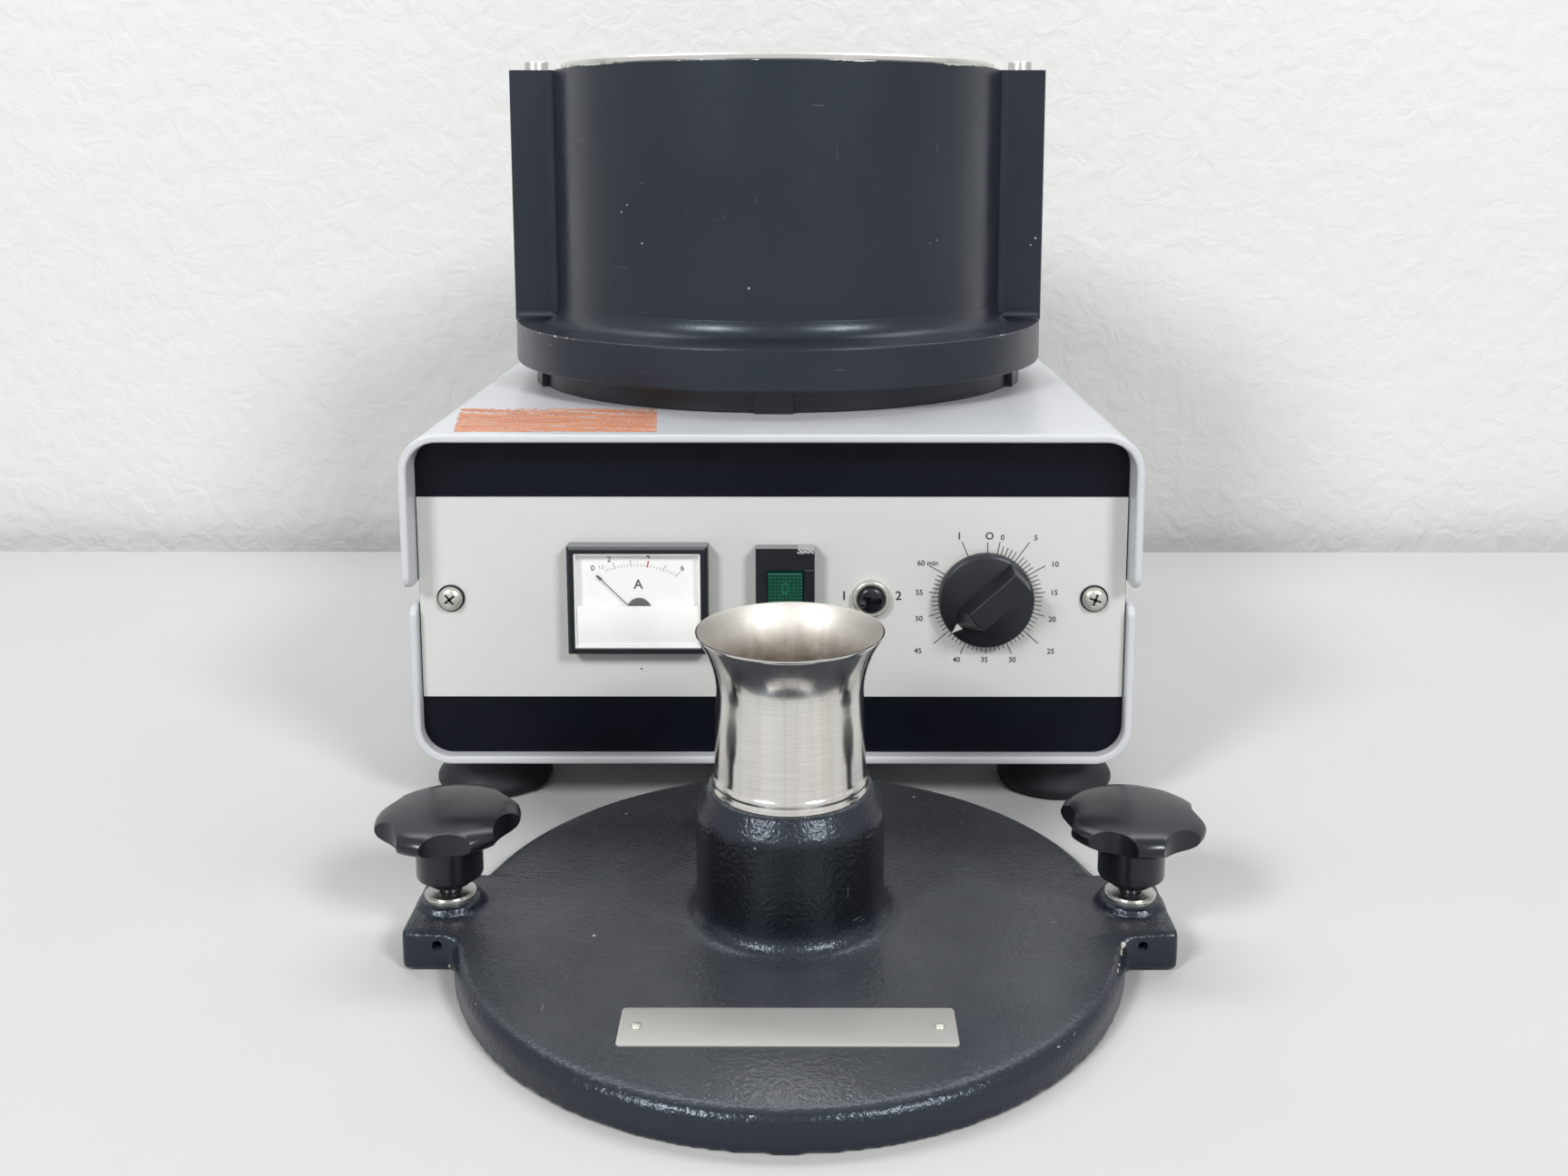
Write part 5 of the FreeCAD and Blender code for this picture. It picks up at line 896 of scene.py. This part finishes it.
def timer():
    """Timer knob: a thick disc with a tapered grip that ends in a faceted nose, and a pointer."""
    centre, turn = (102.5, PANEL_Y, CONTROL_Z), 318
    disc = bmesh.new()
    spun(disc, [(0, 1.2), (22.6, 1.2), (23.3, 1.7), (23.3, 5.0), (22.7, 6.9), (21.6, 7.6),
                (0, 7.6)], steps=160)
    face_forward(disc, disc.verts[:], centre)
    store("timer_disc", disc, "timer", dial_black, ("timer_knob",), smooth=40)
    grip = bmesh.new()
    foot = [(-18.3, 1.7), (-14.1, 6.6), (21.6, 6.9), (22.0, 0), (21.6, -6.9), (-14.1, -6.6),
            (-18.3, -1.7)]
    head = [(-9.4, 1.0), (-8.4, 5.4), (20.6, 5.5), (20.9, 0), (20.6, -5.5), (-8.4, -5.4),
            (-9.4, -1.0)]
    rings = [[grip.verts.new((u, v, z)) for u, v in outline]
             for outline, z in ((foot, 6.6), (head, 21.6))]
    edges = []
    for ring in rings:
        edges += [grip.edges.new((ring[i], ring[(i + 1) % len(ring)])) for i in range(len(ring))]
        grip.faces.new(ring)
    bmesh.ops.bridge_loops(grip, edges=edges)
    face_forward(outward(grip), grip.verts[:], centre, turn)
    store("timer_grip", grip, "timer", dial_black, smooth=18, bevel=0.45)
    arrow = bmesh.new()
    face = arrow.faces.new([arrow.verts.new(p) for p in (
        (-22.6, 0, 7.75), (-17.6, 1.9, 7.75), (-17.6, -1.9, 7.75))])
    pull(arrow, [face], (0, 0, -0.6))
    face_forward(outward(arrow), arrow.verts[:], centre, turn)
    store("timer_arrow", arrow, "timer", print_white, smooth=20)


# Lid

def add_corner(form, side, end):
    """A wedge that fills the corner between an ear and the disc's rim."""
    reach = math.sqrt(RIM ** 2 - EAR_HALF ** 2)
    outline = ((-6, 24), (5.5, 25.6), (1.0, 26.6), (-2.2, 29.2), (-4.6, 33.5), (-10, 33))
    face = form.faces.new([form.verts.new((side * (reach + out), end * y, 1.5))
                           for out, y in outline])
    pull(form, [face], (0, 0, 12.6))


def lid_casting():
    """Cast lid with ears that melt into the disc, bosses and the neck for the funnel."""
    ear_edge = STUD + 14.6
    form = bmesh.new()
    spun(form, [(0, 4.5), (127, 4.5), (127, 0), (RIM, 0), (RIM, 9.5), (135.4, 12.6),
                (132.6, 14.4), (129.5, 14.7), (0, 14.7)], steps=200)
    spun(form, [(0, 6), (44.5, 12), (44.2, 14.9), (41.6, 16.2), (39.6, 18.4), (38.8, 21.5),
                (38.7, 25), (38.7, 59.2), (38.3, 60.4), (33.9, 68.6), (33.0, 69.0), (0, 69.0)],
         steps=128)
    for side in SIDES:
        for v in block(form, (side * 138 - 17.6, -EAR_HALF, 1.0),
                       (side * 138 + 17.6, EAR_HALF, 16.9)):
            if v.co.z > 10 and abs(v.co.x) < 125:
                v.co.z = 14.9
        spun(form, [(0, 10), (13.2, 10), (13.2, 18.4), (12.9, 19.6), (12.0, 20), (0, 20)],
             (side * STUD, 0), 56)
    ends = [e for e in form.edges if all(abs(abs(v.co.x) - ear_edge) < 0.1 for v in e.verts)
            and abs(e.verts[0].co.z - e.verts[1].co.z) > 10]
    round_off(form, ends, 3.0, 4)
    for side in SIDES:
        for end in SIDES:
            add_corner(form, side, end)
    shift(form, *LID)
    skin = cast_skin(form, 1.2, 9, 0.4)
    bores = bmesh.new()
    spun(bores, [(0, -3), (28.4, -3), (28.4, 64), (30.9, 66.5), (30.9, 72), (0, 72)], LID, 96)
    for x, y in CLAMPS:
        rod(bores, (x, y - 30, 11.3), (x, y - 19, 11.3), 2.0)
        spun(bores, [(0, 0.5), (4.6, 0.5), (4.6, 23), (0, 23)], (x, y), 32)
    skin = cut(skin, bores)
    shift(skin, z=-min(v.co.z for v in skin.verts))
    store("lid_body", skin, "lid", casting_lid, ("lid_casting",), smooth=55)


def lid_fittings():
    """Label plate with its rivets, the washers under the star knobs, and the funnel."""
    plate = bmesh.new()
    block(plate, (-52, -284.1, 14.72), (69, -260.7, 15.3))
    corners = [e for e in plate.edges if abs(e.verts[0].co.z - e.verts[1].co.z) > 0.3]
    round_off(plate, corners, 1.6, 5)
    soften(plate, 0.12, 2, lambda p: p.z > 15.2)
    store("lid_label", plate, "lid", label_metal, ("label_plate",), smooth=30)
    rivets = bmesh.new()
    for x in (-45.9, 62.9):
        spun(rivets, [(0, 15.2), (2.1, 15.2), (2.0, 15.7), (1.5, 16.1), (0.7, 16.3), (0, 16.3)],
             (x, -272.4), 32)
    store("drive_rivets", rivets, "lid", plated, ("label_rivets",), smooth=50)
    washers = bmesh.new()
    for place in CLAMPS:
        spun(washers, [(4.6, 20), (10.6, 20), (10.6, 21.2), (10.3, 21.5), (9.4, 21.5), (9.4, 22),
                       (4.6, 22)], place, 56)
    store("bright_washers", washers, "lid", turned, ("knob_washers",), smooth=40)
    cup = bmesh.new()
    spun(cup, [(30.9, 69.0), (32.2, 69.0), (32.2, 69.9), (31.6, 70.9), (31.8, 71.8), (32.1, 72.8),
               (31.7, 73.8), (31.2, 74.4), (31.1, 75.0), (31.05, 77), (30.9, 83), (30.65, 91),
               (30.4, 99), (30.2, 105), (30.1, 109), (30.2, 112.2), (30.9, 116.6), (32.4, 121.8),
               (34.8, 127.4), (37.5, 132.0), (38.3, 133.4), (38.3, 133.9), (37.7, 134.0),
               (36.9, 133.2), (34.0, 128.4), (31.5, 123.0), (29.8, 117.5), (29.1, 112),
               (29.3, 107), (29.7, 102), (29.7, 66), (29.0, 64), (28.3, 60), (28.3, 40),
               (29.2, 39), (29.4, 60), (30.6, 65)], LID, 220)
    store("spun_funnel", cup, "feed_funnel", funnel_steel, ("funnel",), smooth=50)


def star_knobs():
    """Star knobs: a domed head with six scallops, a plain hub and a slim neck."""
    scallop, away = 17.0, 41.3
    for (x, y), name, turn in zip(CLAMPS, ("left", "right"), (-80.0, -117.5)):
        head = bmesh.new()
        spun(head, [(0, 47.6), (14, 47.6), (22.5, 47.9), (26.2, 48.6), (28.3, 49.8), (29.3, 51.3),
                    (29.55, 52.8), (29.0, 54.4), (27.6, 55.9), (25.4, 57.1), (22.2, 58.1),
                    (18.0, 58.9), (13.0, 59.5), (7.0, 59.9), (0, 60.1)], steps=180, closed=False)
        for step in range(6):
            angle = math.radians(turn + step * 60)
            u, v = math.cos(angle) * away, math.sin(angle) * away
            tool = bmesh.new()
            rod(tool, (u, v, 40), (u, v, 70), scallop, 72)
            head = cut(head, tool)
        shift(head, x, y)
        store(f"star_head_{name}", head, f"knob_{name}", knob_black,
              (f"star_knob_{name}",), smooth=30, bevel=1.0, segments=4)
        stem = bmesh.new()
        spun(stem, [(0, 4.2), (3.6, 4.2), (4.2, 5.0), (4.2, 25.9), (8.6, 25.9), (8.9, 26.3),
                    (8.9, 28.4), (9.6, 29.0), (12.6, 29.0), (13.3, 29.4), (13.6, 30.2),
                    (13.6, 44.5), (13.9, 46.2), (15.0, 47.6), (16.8, 48.5), (16.8, 50.0),
                    (0, 50.0)], (x, y), 96, False)
        store(f"star_stem_{name}", stem, f"knob_{name}", knob_black, smooth=40)


def old_tape():
    """Two torn strips of orange tape left on the hood's top."""
    strip = bmesh.new()
    corners = [(-152.5, -67.7), (-56.5, -67.7), (-62.5, -3.9), (-163.5, -3.9)]
    strip.faces.new([strip.verts.new((x, y, 193.02)) for x, y in corners])
    bmesh.ops.subdivide_edges(strip, edges=strip.edges[:], cuts=60, use_grid_fill=True)
    torn = []
    for face in strip.faces:
        x, y, _ = face.calc_center_median()
        wave = (math.sin(x * 0.31 + y * 0.9) + math.sin(x * 0.83 - y * 1.7)
                + math.sin(y * 0.47 + x * 0.11))
        if wave > 1.15 or (wave > 0.2 and y > -20):
            torn.append(face)
    bmesh.ops.delete(strip, geom=torn, context="FACES")
    for v in strip.verts:
        v.co.x += 0.7 * math.sin(v.co.y * 2.1 + v.co.x)
        v.co.y += 0.5 * math.sin(v.co.x * 1.7)
        v.co.z = 193.05
    pull(strip, strip.faces[:], (0, 0, 0.12))
    store("torn_tape", outward(strip), "cabinet", tape_orange, smooth=40)


# Camera as the photograph was taken, bench, room and light; these are in metres

def set_camera():
    data = bpy.data.cameras.new("camera")
    data.sensor_width = 36
    data.lens = 34.38
    data.shift_x = -0.01236
    data.shift_y = -0.1349
    data.clip_start = 0.01
    data.dof.use_dof = False
    camera = add_object("camera", data)
    camera.location = (0.01506, -0.7679, 0.32553)
    camera.rotation_euler = (math.pi / 2 - 0.150, 0, 0.002)
    bpy.context.scene.camera = camera


def sheet(name, width, depth, place, lean, finish):
    """A flat sheet of the room."""
    mesh = bmesh.new()
    bmesh.ops.create_grid(mesh, x_segments=1, y_segments=1, size=0.5)
    bmesh.ops.scale(mesh, vec=(width, depth, 1), verts=mesh.verts)
    bmesh.ops.rotate(mesh, cent=(0, 0, 0), matrix=Matrix.Rotation(lean, 3, "X"), verts=mesh.verts)
    shift(mesh, *place)
    data = as_data(name, mesh)
    data.materials.append(finish)
    thing = add_object(name, data)


def bench():
    f = Finish("bench_top")
    f.feed(Base_Color=f.mix(f.ramp(f.noise(5, 3), 0.3, 0.7), (0.59, 0.59, 0.585),
                            (0.61, 0.61, 0.605)), Roughness=0.7)
    back, depth = 0.424, 2.424
    sheet("bench", 5.0, depth, (0, back - depth / 2, -0.0002), 0.0, f.material)


def wall():
    """Pale wall behind the bench, seen from its front only."""
    f = Finish("wall_paint")
    f.feed(Base_Color=(0.77, 0.77, 0.762, 1), Roughness=0.8)
    grain = f.plus(f.ramp(f.noise(55, 3, 0.5, 0.6), 0.35, 0.6), f.times(f.noise(140, 3), 0.5))
    f.relief(grain, 0.2, 0.003)
    back = f.add("ShaderNodeNewGeometry").outputs["Backfacing"]
    f.blend(back, f.shader, f.add("ShaderNodeBsdfTransparent"), f.tree.nodes["Material Output"])
    sheet("wall", 6.0, 3.0, (0, 0.46, 1.3), math.pi / 2, f.material)


def room():
    """A plain bright room to the camera and in reflections, and a weak fill light."""
    world = bpy.context.scene.world or bpy.data.worlds.new("room")
    bpy.context.scene.world = world
    world.use_nodes = True
    world.node_tree.nodes.clear()
    nodes = Nodes(world.node_tree)
    path = nodes.add("ShaderNodeLightPath").outputs
    shown = path["Is Camera Ray"]
    for kind in ("Is Glossy Ray", "Is Transmission Ray"):
        shown = nodes.most(shown, path[kind])
    seen = nodes.add("ShaderNodeBackground", {"Color": (0.83, 0.83, 0.825, 1), "Strength": 1.0})
    fill = nodes.add("ShaderNodeBackground", {"Color": (0.98, 0.99, 1.0, 1), "Strength": 0.09})
    nodes.blend(shown, fill, seen, nodes.add("ShaderNodeOutputWorld"))


def lamp(name, place, aim, width, height, watts):
    data = bpy.data.lights.new(name, "AREA")
    data.shape = "RECTANGLE"
    data.size = width
    data.size_y = height
    data.energy = watts
    thing = add_object(name, data)
    thing.location = place
    thing.rotation_euler = (Vector(aim) - Vector(place)).to_track_quat("-Z", "Y").to_euler()


cover_shell("hood_shell", "hood", 117.0, 193.0, PANEL_Y - 14.4, 321.7, 7.0)
cover_shell("lower_shell", "lower_cover", 105.5, 25.5, PANEL_Y - 4.5, 310.3, 5.0)
panel_marks()
cross_screws()
rubber_feet()
lugged_ring()
chamber_casting()
meter()
rocker_switch()
toggle_switch()
timer()
lid_casting()
lid_fittings()
star_knobs()
old_tape()

# Finishes of the kept solids
solid_finish = {
    "chassis": zinc, "deck": zinc, "front_plate": band_black, "front_panel": panel_metal,
    "rear_plate": band_black, "foot_screws": plated, "deck_bolts": plated, "lower_bearing": turned,
    "upper_bearing": turned, "drive_shaft": turned, "shaft_seal": rubber, "motor_shell": trim_black,
    "motor_shield": trim_black, "stator": stack_steel, "armature": stack_steel,
    "carbon_brushes": carbon_black, "brush_holders": brass_metal, "cooling_fan": fan_plastic,
    "ring_sieve": polished, "milling_rotor": polished, "timer_body": trim_black,
    "cable_gland": trim_black, "control_board": board_green, "lid_seal": rubber,
    "clip_left": plated, "clip_right": plated}
for node, finish in solid_finish.items():
    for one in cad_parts[node].material_slots:
        one.material = finish

set_camera()
bench()
wall()
room()
lamp("left_light", (-1.6, -2.2, 1.95), (0, 0.0, 0.1), 0.7, 0.7, 58)
lamp("right_light", (1.6, -2.2, 1.95), (0, 0.0, 0.1), 0.7, 0.7, 58)
lamp("back_light", (0.0, 0.3, 1.35), (0, -0.3, 0.0), 1.9, 0.3, 8)
bpy.context.scene.view_settings.view_transform = "Standard"
